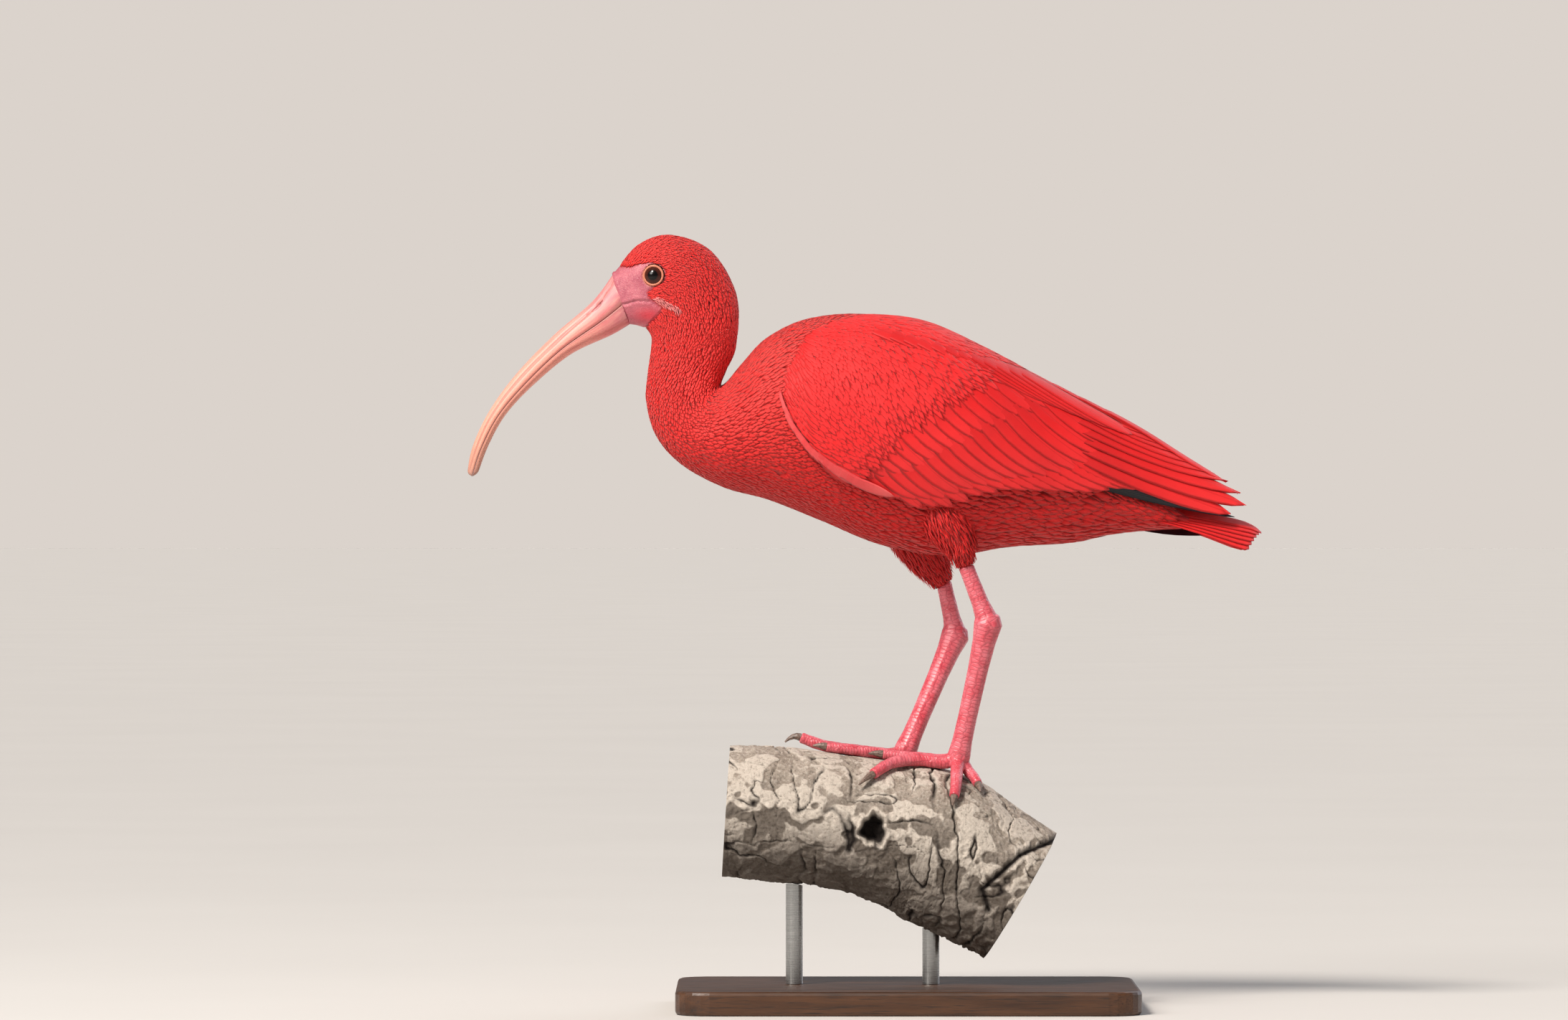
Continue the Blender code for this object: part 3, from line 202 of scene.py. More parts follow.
def smooth_rows(rows, count):
    """Points on the smooth curve through the rows, evenly by row number."""
    rows = np.array(rows, float)
    last = len(rows) - 1
    t = np.linspace(0, last, count)
    i = np.minimum(t.astype(int), last - 1)
    f = (t - i)[:, None]
    a, b, c, d = (rows[np.clip(i + k, 0, last)] for k in (-1, 0, 1, 2))
    return b + 0.5 * f * (c - a + f * (2 * a - 5 * b + 4 * c - d + f * (3 * b - a - 3 * c + d)))


FINE = 40
BODY_FINE = smooth_rows([(*low, *high, half) for low, high, half in BODY], (len(BODY) - 1) * FINE + 1)
WING_FINE = smooth_rows(WING, (len(WING) - 1) * FINE + 1)
THIGH_FINE = {name: smooth_rows(rows, (len(rows) - 1) * FINE + 1) for name, rows in THIGHS.items()}


def columns(table, t, per_row=FINE):
    """The table's columns at t rows along it."""
    at = np.arange(len(table)) / per_row
    return [np.interp(t, at, table[:, k]) for k in range(table.shape[1])]


def unit(v):
    return v / np.maximum(np.linalg.norm(v, axis=-1, keepdims=True), 1e-9)


def body_place(s, angle, lift):
    """A point over the body's surface at station s, where angle turns from the back towards the right side."""
    low_x, low_z, high_x, high_z, half = columns(BODY_FINE, s)
    rise = np.stack([high_x - low_x, 0 * s, high_z - low_z], -1) / 2
    tall = np.linalg.norm(rise, axis=-1)
    middle = np.stack([(high_x + low_x) / 2, 0 * s, (high_z + low_z) / 2], -1)
    point = middle + rise * ((tall + lift) * np.cos(angle) / tall)[..., None]
    point[..., 1] += (half + lift) * np.sin(angle)
    return point


def wing_size(x):
    return [np.interp(x, WING_FINE[:, 0], WING_FINE[:, k]) for k in (1, 2, 3)]


def wing_place(side):
    """The folded wing's surface on this side: x, angle from the back line down, and lift."""
    def place(x, angle, lift):
        top, middle, half = wing_size(x)
        angle = np.maximum(angle, np.arcsin(MIDLINE / half))
        tall = top - middle
        spot = np.stack([x + 0 * angle, half * np.sin(angle), middle + tall * np.cos(angle)], -1)
        next_top, next_middle, next_half = wing_size(x + 1.0)
        along = np.stack([1.0 + 0 * angle, next_half * np.sin(angle),
                          next_middle + (next_top - next_middle) * np.cos(angle)], -1)
        along[..., 1:] -= spot[..., 1:]
        around = np.stack([0 * angle, half * np.cos(angle), -tall * np.sin(angle)], -1)
        spot = spot + unit(np.cross(along, around)) * (lift + 0 * angle)[..., None]
        spot[..., 1] = side * np.maximum(spot[..., 1], MIDLINE)
        return spot
    return place


def wing_angle(x, z):
    """The angle at which the wing's surface has this height."""
    top, middle, _ = wing_size(x)
    return np.arccos(np.clip((z - middle) / (top - middle), -0.95, 1.0))


def ridge_angle(x, y):
    """The angle at which the wing's surface is this far out from the middle, near its back line."""
    return np.arcsin(np.clip(y / wing_size(x)[2], 0, 1))


def thigh_place(name):
    """The thigh's surface: rows down from its top, angle round it from behind, and lift."""
    def place(t, angle, lift):
        x, y, z, radius = columns(THIGH_FINE[name], t)
        ahead = columns(THIGH_FINE[name], t + 0.05)
        behind = columns(THIGH_FINE[name], t - 0.05)
        axis = unit(np.stack([a - b for a, b in zip(ahead[:3], behind[:3])], -1))
        across = unit(np.cross(axis, np.broadcast_to((0.0, 1.0, 0.0), axis.shape)))
        out = across * np.cos(angle)[..., None] + np.cross(axis, across) * np.sin(angle)[..., None]
        return np.stack([x, y, z], -1) + out * (radius + lift)[..., None]
    return place


def rates(place, u, v):
    """How far the surface goes, in millimetres, for one unit of u and of v, as vectors."""
    h = 0.01
    zero = 0 * (u + v)
    along = (place(u + h, v, zero) - place(u - h, v, zero)) / (2 * h)
    around = (place(u, v + h, zero) - place(u, v - h, zero)) / (2 * h)
    return along, around


def line_at(points, f):
    """Points a share f of the way along a line of points."""
    points = np.array(points, float)
    run = np.concatenate([[0], np.cumsum(np.linalg.norm(np.diff(points, axis=0), axis=1))])
    return np.stack([np.interp(np.asarray(f) * run[-1], run, points[:, k]) for k in range(points.shape[1])], -1)


def height_at(points, x):
    points = np.array(points, float)
    return np.interp(x, points[:, 0], points[:, 1])


def wing_flow(x, z):
    """The flow of the coverts over the wing, in radians below the level towards the tail."""
    low = height_at(WING_EDGE, x)
    share = np.clip((z - low) / np.maximum(wing_size(x)[0] - low, 1.0), 0, 1) * (len(FLOW[0]) - 1)
    column = np.minimum(share.astype(int), len(FLOW[0]) - 2)
    row_f = np.interp(x, FLOW_X, np.arange(len(FLOW_X)))
    row = np.minimum(row_f.astype(int), len(FLOW_X) - 2)
    table = np.array(FLOW)
    g, h = row_f - row, share - column
    turn = ((table[row, column] * (1 - g) + table[row + 1, column] * g) * (1 - h)
            + (table[row, column + 1] * (1 - g) + table[row + 1, column + 1] * g) * h)
    return np.radians(turn)


def distance_to(points, line, closed=False):
    """How far each (x, z) is from a line of (x, z) points."""
    line = np.array(line, float)
    starts, ends = (line, np.roll(line, -1, 0)) if closed else (line[:-1], line[1:])
    best = np.full(points.shape[:-1], 1e9)
    for a, b in zip(starts, ends):
        run = b - a
        f = np.clip(((points - a) @ run) / (run @ run), 0, 1)
        best = np.minimum(best, np.linalg.norm(points - a - f[..., None] * run, axis=-1))
    return best


def inside(points, polygon):
    """Whether each (x, z) lies inside the polygon."""
    polygon = np.array(polygon, float)
    odd = np.zeros(points.shape[:-1], bool)
    for (ax, az), (bx, bz) in zip(polygon, np.roll(polygon, -1, 0)):
        if az != bz:
            crosses = (az > points[..., 1]) != (bz > points[..., 1])
            odd ^= crosses & (points[..., 0] < (bx - ax) * (points[..., 1] - az) / (bz - az) + ax)
    return odd


def bareness(points, soft=0.9):
    """1 on the bare skin of the face, 0 where feathers grow, for (x, y, z) points."""
    flat = points[..., [0, 2]]
    reach = distance_to(flat, BARE_FACE, closed=True) * np.where(inside(flat, BARE_FACE), 1, -1)
    reach = reach + 0.4 * np.sin(2.3 * flat[..., 0]) * np.sin(1.9 * flat[..., 1] + 1.0)
    return np.clip(0.5 + reach / (2 * soft), 0, 1)


# Meshes

def link(name, mesh):
    made = bpy.data.objects.new(name, mesh)
    bpy.context.scene.collection.objects.link(made)
    return made


def mesh_of(name, points, faces, flat=None):
    """A mesh from points in millimetres and faces given as arrays of corner numbers, one array for each count."""
    mesh = bpy.data.meshes.new(name)
    mesh.vertices.add(len(points))
    mesh.vertices.foreach_set("co", (np.asarray(points) * MM).astype(np.float32).ravel())
    loops = np.concatenate([block.ravel() for block in faces])
    counts = np.concatenate([np.full(len(block), block.shape[1]) for block in faces])
    mesh.loops.add(len(loops))
    mesh.loops.foreach_set("vertex_index", loops.astype(np.int32))
    mesh.polygons.add(len(counts))
    mesh.polygons.foreach_set("loop_start", (np.cumsum(counts) - counts).astype(np.int32))
    if flat is not None:
        mesh.attributes.new("sharp_face", "BOOLEAN", "FACE").data.foreach_set("value", flat)
    mesh.update(calc_edges=True)
    return mesh


def uv_map(mesh, name, values):
    """A UV map whose corners take their point's value."""
    corner = np.empty(len(mesh.loops), np.int32)
    mesh.loops.foreach_get("vertex_index", corner)
    layer = mesh.uv_layers.new(name=name)
    layer.data.foreach_set("uv", np.asarray(values)[corner].astype(np.float32).ravel())


def point_colour(mesh, name, values):
    layer = mesh.color_attributes.new(name, "FLOAT_COLOR", "POINT")
    full = np.ones((len(values), 4), np.float32)
    full[:, :values.shape[1]] = values
    layer.data.foreach_set("color", full.ravel())


def piece(obj, slot, *nodes, material=None):
    """Makes the object a piece of the bird or the stand."""
    if material:
        obj.data.materials.clear()
        obj.data.materials.append(material)
    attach(obj, "root")
    if nodes:
        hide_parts(*nodes)
    return obj


def loft_faces(rings, sides, caps=True):
    """The faces of a closed skin over rings of equal count."""
    i, k = np.meshgrid(np.arange(rings - 1), np.arange(sides), indexing="ij")
    a, b = i * sides + k, i * sides + (k + 1) % sides
    quads = np.stack([a, b, b + sides, a + sides], -1).reshape(-1, 4)
    if not caps:
        return [quads]
    return [quads, np.arange(sides)[::-1][None], (rings - 1) * sides + np.arange(sides)[None]]


def outward(obj):
    """Turns the faces of a closed mesh outwards."""
    form = bmesh.new()
    form.from_mesh(obj.data)
    bmesh.ops.recalc_face_normals(form, faces=form.faces)
    if form.calc_volume(signed=True) < 0:
        bmesh.ops.reverse_faces(form, faces=form.faces)
    form.to_mesh(obj.data)
    form.free()
    return obj


def lofted(name, rings, caps=True):
    """A closed skin over an array of rings, turned outwards and smooth."""
    count, sides, _ = rings.shape
    made = link(name, mesh_of(name, rings.reshape(-1, 3), loft_faces(count, sides, caps)))
    outward(made)
    made.data.shade_smooth()
    return made


def combine(target, others, operation, solver="EXACT"):
    """Booleans of the target with the others, applied; the others are removed."""
    for other in others:
        step = target.modifiers.new(operation.lower(), "BOOLEAN")
        step.operation = operation
        step.solver = solver
        step.object = other
    graph = bpy.context.evaluated_depsgraph_get()
    mesh = bpy.data.meshes.new_from_object(target.evaluated_get(graph))
    target.modifiers.clear()
    target.data = mesh
    for other in others:
        bpy.data.objects.remove(other, do_unlink=True)
    return target


def remeshed(obj, voxel, smooth):
    """The object's closed outer skin at this fineness, smoothed."""
    step = obj.modifiers.new("remesh", "REMESH")
    step.mode = "VOXEL"
    step.voxel_size = voxel * MM
    soften = obj.modifiers.new("soften", "SMOOTH")
    soften.factor = 0.5
    soften.iterations = smooth
    graph = bpy.context.evaluated_depsgraph_get()
    mesh = bpy.data.meshes.new_from_object(obj.evaluated_get(graph))
    obj.modifiers.clear()
    obj.data = mesh
    return obj


def joined(name, objects):
    """One object that holds the meshes of all of these, which are removed."""
    form = bmesh.new()
    for obj in objects:
        form.from_mesh(obj.data)
    mesh = bpy.data.meshes.new(name)
    form.to_mesh(mesh)
    form.free()
    for obj in objects:
        bpy.data.objects.remove(obj, do_unlink=True)
    return link(name, mesh)


def coordinates(mesh):
    points = np.empty(len(mesh.vertices) * 3, np.float32)
    mesh.vertices.foreach_get("co", points)
    return points.reshape(-1, 3).astype(float) / MM


# Feathers

def surface_feathers(place, u, v, turn, length, half, lifts, outline, rng, across=3, crest=0.3, tuck=0.0):
    """Feathers that follow a surface from their roots, as a block for feather_piece.

    turn gives their direction from the surface's u towards its v; lifts are those of the root and the tip, and
    tuck is how far the tip sinks back into the feathers below.
    """
    shares = np.array([f for f, _ in outline])
    widths = np.array([w for _, w in outline])
    places = np.linspace(-1, 1, across)
    grid_u, grid_v, side_u, side_v = [], [], [], []
    first = (u, v)
    done = 0.0
    for f in shares:
        way = turn(u, v) if callable(turn) else turn
        along, around = rates(place, u, v)
        per_u = 1 / np.maximum(np.linalg.norm(along, axis=-1), 0.2)
        per_v = 1 / np.maximum(np.linalg.norm(around, axis=-1), 5.0)
        u = u + length * (f - done) * np.cos(way) * per_u
        v = v + length * (f - done) * np.sin(way) * per_v
        done = f
        grid_u.append(u)
        grid_v.append(v)
        side_u.append(-np.sin(way) * per_u)
        side_v.append(np.cos(way) * per_v)
    grid_u, grid_v, side_u, side_v = (np.stack(g, 1)[..., None] for g in (grid_u, grid_v, side_u, side_v))
    reach = half[:, None, None] * widths[None, :, None] * places
    rise = lifts[0][:, None, None] + (lifts[1] - lifts[0])[:, None, None] * shares[None, :, None]
    rise = rise + crest * (1 - places ** 2) * widths[None, :, None]
    rise = rise - tuck * np.clip((shares - 0.6) / 0.4, 0, 1)[None, :, None] ** 2
    points = place(grid_u + side_u * reach, grid_v + side_v * reach, rise)
    along, around = rates(place, *first)
    count = len(first[0])
    return {
        "points": points,
        "out": np.cross(along, around),
        "across": reach,
        "along": length[:, None] * shares,
        "share": np.broadcast_to(shares[None, :, None], reach.shape),
        "place": np.broadcast_to(places, reach.shape),
        "tone": rng.random(count),
        "painted_shade": np.zeros(reach.shape),
    }


def tier_feathers(side, roots, tips, half, lifts, bow, outline, turned, rng, across=7, crest=0.2):
    """The long feathers of a wing from root to tip in a flat view, as a block for feather_piece."""
    place = wing_place(side)
    f = np.array([f for f, _ in outline])
    steps = np.linspace(0, 1, 15)
    f = np.unique(np.concatenate([steps[steps < 0.86], f[f > 0.8]]))
    widths = np.interp(f, [a for a, _ in outline], [b for _, b in outline])
    run = tips - roots
    over = np.stack([run[:, 1], -run[:, 0]], -1) / np.linalg.norm(run, axis=1, keepdims=True)
    bend = (roots + tips) / 2 + over * bow

    def path(g):
        g = g[None, :, None]
        return roots[:, None] * (1 - g) ** 2 + bend[:, None] * 2 * g * (1 - g) + tips[:, None] * g * g

    here, ahead = path(f), path(f + 0.02)
    angle = turned(here[..., 0], here[..., 1])
    _, around = rates(place, here[..., 0], angle)
    scale = np.maximum(np.linalg.norm(around, axis=-1), 5.0)
    step_x = ahead[..., 0] - here[..., 0]
    step_v = (turned(ahead[..., 0], ahead[..., 1]) - angle) * scale
    length = np.hypot(step_x, step_v)
    step_x, step_v = step_x / length, step_v / length
    places = np.linspace(-1, 1, across)
    reach = np.asarray(half).reshape(-1, 1, 1) * widths[None, :, None] * places
    x = here[..., 0][..., None] - step_v[..., None] * reach
    turn = angle[..., None] + step_x[..., None] * reach / scale[..., None]
    sunk = -3.0 * np.maximum(0, 1 - f / 0.25)
    upper, lower, settle = lifts
    pressed = sunk - settle * np.clip((f - 0.3) / 0.7, 0, 1) - 0.3 * np.clip((f - 0.85) / 0.15, 0, 1) ** 2
    rise = upper + (lower - upper) * (places + 1) / 2 + crest * (1 - places ** 2) + pressed[None, :, None] + 0 * reach
    points = place(x, turn, rise)
    along, around = rates(place, here[:, 3, 0], angle[:, 3])
    size = np.linalg.norm(run, axis=1)
    return {
        "points": points,
        "out": np.cross(along, around),
        "across": reach,
        "along": size[:, None] * f,
        "share": np.broadcast_to(f[None, :, None], reach.shape),
        "place": np.broadcast_to(places, reach.shape),
        "tone": rng.random(len(roots)),
        # Painted shade: each long feather darkens along its upper edge, where the next one overlaps it, less so towards
        # the tip.
        "painted_shade": np.clip(-0.4 - places, 0, 1) * (1 - 0.6 * f[None, :, None] ** 2) + 0 * reach,
    }


def feather_piece(name, blocks, material, slot, bake=None):
    """One object of many feathers, each a closed thin blade with a crested top and a flat underside."""
    points, quads, caps, flats = [], [], [], []
    marks, barbs, patch = [], [], []
    start = 0
    for block in blocks:
        grid = block["points"]
        count, rows, across, _ = grid.shape
        over = np.cross(grid[:, -2, across // 2] - grid[:, 0, across // 2], grid[:, 1, -1] - grid[:, 1, 0])
        wrong = (over * block["out"]).sum(-1) < 0
        order = np.where(wrong[:, None], np.arange(across)[::-1], np.arange(across))

        def sorted_across(values):
            return np.take_along_axis(values, order[:, None, :] + np.zeros((1, rows, 1), int), 2)

        grid = np.take_along_axis(grid, (order[:, None, :] + np.zeros((1, rows, 1), int))[..., None], 2)
        number = start + np.arange(count * rows * across).reshape(count, rows, across)
        a, b = number[:, :-1, :-1], number[:, 1:, :-1]
        c, d = number[:, 1:, 1:], number[:, :-1, 1:]
        top = np.stack([a, b, c, d], -1).reshape(-1, 4)
        under = np.stack([number[:, :-1, 0], number[:, :-1, -1], number[:, 1:, -1], number[:, 1:, 0]], -1)
        quads += [(top, False), (under.reshape(-1, 4), True)]
        caps += [number[:, 0, :], number[:, -1, ::-1]]
        points.append(grid.reshape(-1, 3))
        tone = np.broadcast_to(block["tone"][:, None, None], (count, rows, across))
        marks.append(np.stack([tone, block["share"], sorted_across(block["painted_shade"])], -1).reshape(-1, 3))
        along = np.broadcast_to(block["along"][:, :, None], (count, rows, across))
        barbs.append(np.stack([sorted_across(block["across"]), along], -1).reshape(-1, 2) * MM)
        root = block["bake"] if "bake" in block else np.zeros((count, 2))
        spot = root[:, None, None, :] + 0.003 * np.stack(
            [sorted_across(block["place"]) / 2, block["share"] + 0 * block["place"]], -1)
        patch.append(spot.reshape(-1, 2))
        start += count * rows * across
    faces = [q for q, _ in quads] + caps
    flat = np.concatenate([np.full(len(q), is_flat) for q, is_flat in quads] + [np.ones(len(c), bool) for c in caps])
    mesh = mesh_of(name, np.concatenate(points), faces, flat)
    point_colour(mesh, "Plume", np.concatenate(marks))
    uv_map(mesh, "OFBake", np.concatenate(patch))
    uv_map(mesh, "Barbs", np.concatenate(barbs))
    mesh.uv_layers["OFBake"].active_render = True
    return piece(link(name, mesh), slot, material=material)


def scatter(place, u_span, v_span, gap, keep, rng, tries=5):
    """Roots spread evenly over a surface, gap(points) apart where keep(points) holds: their u, v and gap."""
    def draw(count):
        u = rng.uniform(*u_span, count)
        v = rng.uniform(*v_span, count)
        points = place(u, v, np.zeros(count))
        along, around = rates(place, u, v)
        spacing = gap(points)
        return u, v, points, spacing, np.linalg.norm(np.cross(along, around), axis=-1) / spacing ** 2

    _, _, _, _, weight = draw(4000)
    highest = np.percentile(weight, 99.5)
    whole = weight.mean() * (u_span[1] - u_span[0]) * (v_span[1] - v_span[0])
    u, v, points, spacing, weight = draw(int(tries * whole * highest / weight.mean()))
    chosen = (rng.random(len(u)) < weight / highest) & keep(points)
    u, v, points, spacing = u[chosen], v[chosen], points[chosen], spacing[chosen]
    cell = spacing.max()
    keys = np.floor(points / cell).astype(int)
    around = [(i, j, k) for i in (-1, 0, 1) for j in (-1, 0, 1) for k in (-1, 0, 1)]
    cells, kept = {}, []
    for n, ((i, j, k), (x, y, z), reach) in enumerate(zip(keys.tolist(), points.tolist(), spacing.tolist())):
        reach *= reach
        for di, dj, dk in around:
            near = cells.get((i + di, j + dj, k + dk))
            if near and any((x - a) ** 2 + (y - b) ** 2 + (z - c) ** 2 < reach for a, b, c in near):
                break
        else:
            cells.setdefault((i, j, k), []).append((x, y, z))
            kept.append(n)
    return u[kept], v[kept], spacing[kept]


# Materials

def linear(hex_colour):
    parts = [int(hex_colour[i:i + 2], 16) / 255 for i in (0, 2, 4)]
    return tuple(c / 12.92 if c <= 0.04045 else ((c + 0.055) / 1.055) ** 2.4 for c in parts) + (1.0,)


def node(tree, kind, settings=None, links=None):
    """Adds a node with its settings; links give a value, a hex colour or another node's socket for each input."""
    made = tree.nodes.new("ShaderNode" + kind)
    for key, value in (settings or {}).items():
        if key == "stops":
            while len(made.color_ramp.elements) < len(value):
                made.color_ramp.elements.new(0.5)
            for element, (position, colour) in zip(made.color_ramp.elements, value):
                element.position = position
                element.color = linear(colour)
        else:
            setattr(made, key, value)
    for key, value in (links or {}).items():
        socket = made.inputs[key]
        if isinstance(value, bpy.types.NodeSocket):
            tree.links.new(value, socket)
        elif isinstance(value, str):
            socket.default_value = linear(value)
        else:
            socket.default_value = value
    return made


def material(name, shader):
    """A material and its tree, with uniform values set on the Principled shader's own sockets."""
    made = bpy.data.materials.new(name)
    made.use_nodes = True
    tree = made.node_tree
    bsdf = tree.nodes["Principled BSDF"]
    for key, value in shader.items():
        bsdf.inputs[key].default_value = linear(value) if isinstance(value, str) else value
    return made, tree, bsdf


def mix(tree, factor, a, b, blend="MIX"):
    return node(tree, "Mix", {"data_type": "RGBA", "blend_type": blend}, {0: factor, 6: a, 7: b}).outputs[2]


def math_node(tree, operation, a, b=0.0, c=0.0):
    return node(tree, "Math", {"operation": operation}, {0: a, 1: b, 2: c}).outputs[0]


def ranged(tree, value, low, high, to_low=0.0, to_high=1.0):
    return node(tree, "MapRange", None, {0: value, 1: low, 2: high, 3: to_low, 4: to_high}).outputs[0]


def object_noise(tree, scale, detail=3.0, roughness=0.5, vector=None):
    """Noise over the object's own place, scale in waves per metre."""
    where = vector or node(tree, "TexCoord").outputs["Object"]
    return node(tree, "TexNoise", None, {"Vector": where, "Scale": scale, "Detail": detail,
                                         "Roughness": roughness}).outputs["Fac"]


def bumped(tree, bsdf, height, strength, distance, normal=None):
    links = {"Strength": strength, "Distance": distance, "Height": height}
    if normal:
        links["Normal"] = normal
    made = node(tree, "Bump", None, links).outputs[0]
    tree.links.new(made, bsdf.inputs["Normal"])
    return made


def plumage(name, deep, main, lit, barb, shader, strands, low=None):
    """Feathers: red at the tips, deeper at the roots, each a little different, with fine barbs on them.

    barb is the barbs' spacing in metres; strands are hair-like where the feathers are soft tufts; low is the
    deeper red of painted shade low on the body, over the belly and thighs.
    """
    made, tree, bsdf = material(name, shader)
    plume = node(tree, "SeparateColor", None, {0: node(tree, "VertexColor", {"layer_name": "Plume"}).outputs[0]})
    tone, share, painted_shade = plume.outputs
    patches = object_noise(tree, 28.0, 3.0)
    colour = mix(tree, ranged(tree, share, 0.0, 0.6), deep, main)
    colour = mix(tree, ranged(tree, share, 0.55, 1.0, 0.0, 0.55), colour, lit)
    colour = mix(tree, ranged(tree, tone, 0.0, 1.0, 0.0, 0.22), colour, lit)
    colour = mix(tree, ranged(tree, patches, 0.45, 0.75, 0.0, 0.35), colour, deep)
    # Painted shade: the red deepens towards the bottom of the body.
    if low:
        place = node(tree, "SeparateXYZ", None, {0: node(tree, "TexCoord").outputs["Object"]})
        colour = mix(tree, ranged(tree, place.outputs[2], 0.3, 0.38, 0.75, 0.0), colour, low)
    spot = node(tree, "SeparateXYZ", None, {0: node(tree, "UVMap", {"uv_map": "Barbs"}).outputs[0]})
    aside = math_node(tree, "ABSOLUTE", spot.outputs[0])
    if strands:
        lines = node(tree, "CombineXYZ", None, {0: math_node(tree, "MULTIPLY", spot.outputs[0], 1 / barb),
                                                1: math_node(tree, "MULTIPLY", spot.outputs[1], 0.12 / barb),
                                                2: math_node(tree, "MULTIPLY", tone, 40.0)})
        height = object_noise(tree, 1.0, 2.0, 0.6, lines.outputs[0])
        colour = mix(tree, ranged(tree, height, 0.3, 0.55, 0.3, 0.0), colour, deep)
    else:
        slant = math_node(tree, "ADD", math_node(tree, "MULTIPLY", aside, 0.85), spot.outputs[1])
        height = math_node(tree, "SINE", math_node(tree, "MULTIPLY", slant, 2 * math.pi / barb))
        height = ranged(tree, height, -1.0, 1.0)
        shaft = ranged(tree, aside, 0.0002, 0.00045, 1.0, 0.0)
        colour = mix(tree, math_node(tree, "MULTIPLY", shaft, 0.35), colour, deep)
        height = math_node(tree, "ADD", height, math_node(tree, "MULTIPLY", shaft, 2.0))
    # Painted shade from the Plume mark darkens the covered upper edges of the long feathers.
    colour = mix(tree, math_node(tree, "MULTIPLY", painted_shade, 0.6), colour, deep)
    tree.links.new(colour, bsdf.inputs["Base Color"])
    tree.links.new(ranged(tree, patches, 0.3, 0.7, shader["Roughness"] - 0.06, shader["Roughness"] + 0.08),
                   bsdf.inputs["Roughness"])
    bumped(tree, bsdf, height, 0.35 if strands else 0.22, barb * 0.5)
    return made


# Feather keratin is matt and soft, with a pale sheen where the barbs catch light at a low angle.
SOFT = {"Roughness": 0.62, "Specular IOR Level": 0.3, "Sheen Weight": 0.28, "Sheen Roughness": 0.45,
        "Sheen Tint": "FF9C98"}
SMOOTH = {"Roughness": 0.5, "Specular IOR Level": 0.35, "Sheen Weight": 0.2, "Sheen Roughness": 0.4,
          "Sheen Tint": "FFA8A4"}
# Small soft feathers of the head, neck and body: short tufts whose strands catch the light, their red deepened low on
# the body by painted shade.
down = plumage("scarlet_body_feathers", "C41214", "E22624", "F25450", 0.00022, SOFT, True,
               "C4080A")
# Coverts and quills of the wing: close barbs that lie flat, so the wing is smooth and satin.
quill = plumage("scarlet_wing_feathers", "B00A0E", "DC181A", "E83436", 0.0006, SMOOTH, False)
# Small coverts: velvety, their strands finer than the eye sees from a step away.
velvet = plumage("scarlet_small_coverts", "CC1416", "DE1C1E", "E8383A", 0.0003, SOFT, True)
# The outer primaries of a scarlet ibis are black with a blue gloss.
black_quill = plumage("black_primaries", "06060A", "0B0B12", "1B1E30", 0.0006,
                      {"Roughness": 0.34, "Specular IOR Level": 0.6, "Sheen Weight": 0.0, "Sheen Roughness": 0.4,
                       "Sheen Tint": "7080C0"}, False)
# The thin band of feathers along the wing's front edge is a paler pink: a painted highlight where light falls on that
# edge.
edge_painted_highlight = plumage("edge_feathers_painted_highlight", "C8282E", "E04E50", "EA706E", 0.0003, SOFT, True)
# A short streak of pale pink feathers runs back from the corner of the mouth.
palest = plumage("pale_streak_feathers", "D45660", "EA8684", "F2AAA6", 0.00025, SOFT, True)

# Skin under the coat, with the bare face: dusky pink, finely wrinkled, orange-pink round the eye.
skin, tree, bsdf = material("ibis_skin", {"Roughness": 0.46, "Specular IOR Level": 0.45, "Sheen Weight": 0.1,
                                          "Sheen Tint": "FFC8C4", "Subsurface Weight": 0.08,
                                          "Subsurface Radius": (0.002, 0.0008, 0.0006), "Subsurface Scale": 1.0})
marks = node(tree, "SeparateColor", None, {0: node(tree, "VertexColor", {"layer_name": "Face"}).outputs[0]})
bare, ring, flush = marks.outputs
wrinkles = object_noise(tree, 900.0, 4.0, 0.65)
mottle = object_noise(tree, 160.0, 4.0, 0.6)
face = mix(tree, ranged(tree, mottle, 0.35, 0.7), "BE6874", "A04A5C")
face = mix(tree, ranged(tree, wrinkles, 0.5, 0.7, 0.0, 0.35), face, "D89090")
face = mix(tree, flush, face, "C23442")
face = mix(tree, ring, face, "CC7C60")
tree.links.new(mix(tree, bare, "B81418", face), bsdf.inputs["Base Color"])
cells = node(tree, "TexVoronoi", {"feature": "DISTANCE_TO_EDGE"}, {"Vector": node(tree, "TexCoord").outputs["Object"],
                                                                   "Scale": 700.0}).outputs["Distance"]
bumped(tree, bsdf, math_node(tree, "ADD", ranged(tree, cells, 0.0, 0.25), wrinkles), 0.35, 0.0003)

# Horn of the bill: salmon pink, redder at its root and greyer at its tip, streaked along its length.
horn, tree, bsdf = material("bill_horn", {"Roughness": 0.4, "Specular IOR Level": 0.5, "Coat Weight": 0.15,
                                          "Coat Roughness": 0.3, "Subsurface Weight": 0.06,
                                          "Subsurface Radius": (0.002, 0.001, 0.0007), "Subsurface Scale": 1.0})
spot = node(tree, "SeparateXYZ", None, {0: node(tree, "UVMap", {"uv_map": "Along"}).outputs[0]})
along, around = spot.outputs[0], spot.outputs[1]
streak_at = node(tree, "CombineXYZ", None, {0: math_node(tree, "MULTIPLY", along, 9.0),
                                            1: math_node(tree, "MULTIPLY", around, 22.0)}).outputs[0]
streaks = object_noise(tree, 1.0, 4.0, 0.6, streak_at)
flakes = object_noise(tree, 420.0, 4.0, 0.6)
tint = node(tree, "ValToRGB", {"stops": [(0.0, "B86470"), (0.08, "CC7078"), (0.2, "E08480"), (0.4, "EA9686"), (0.75, "E39A84"),
                                         (0.93, "C28672"), (1.0, "9C7468")]}, {0: along}).outputs[0]
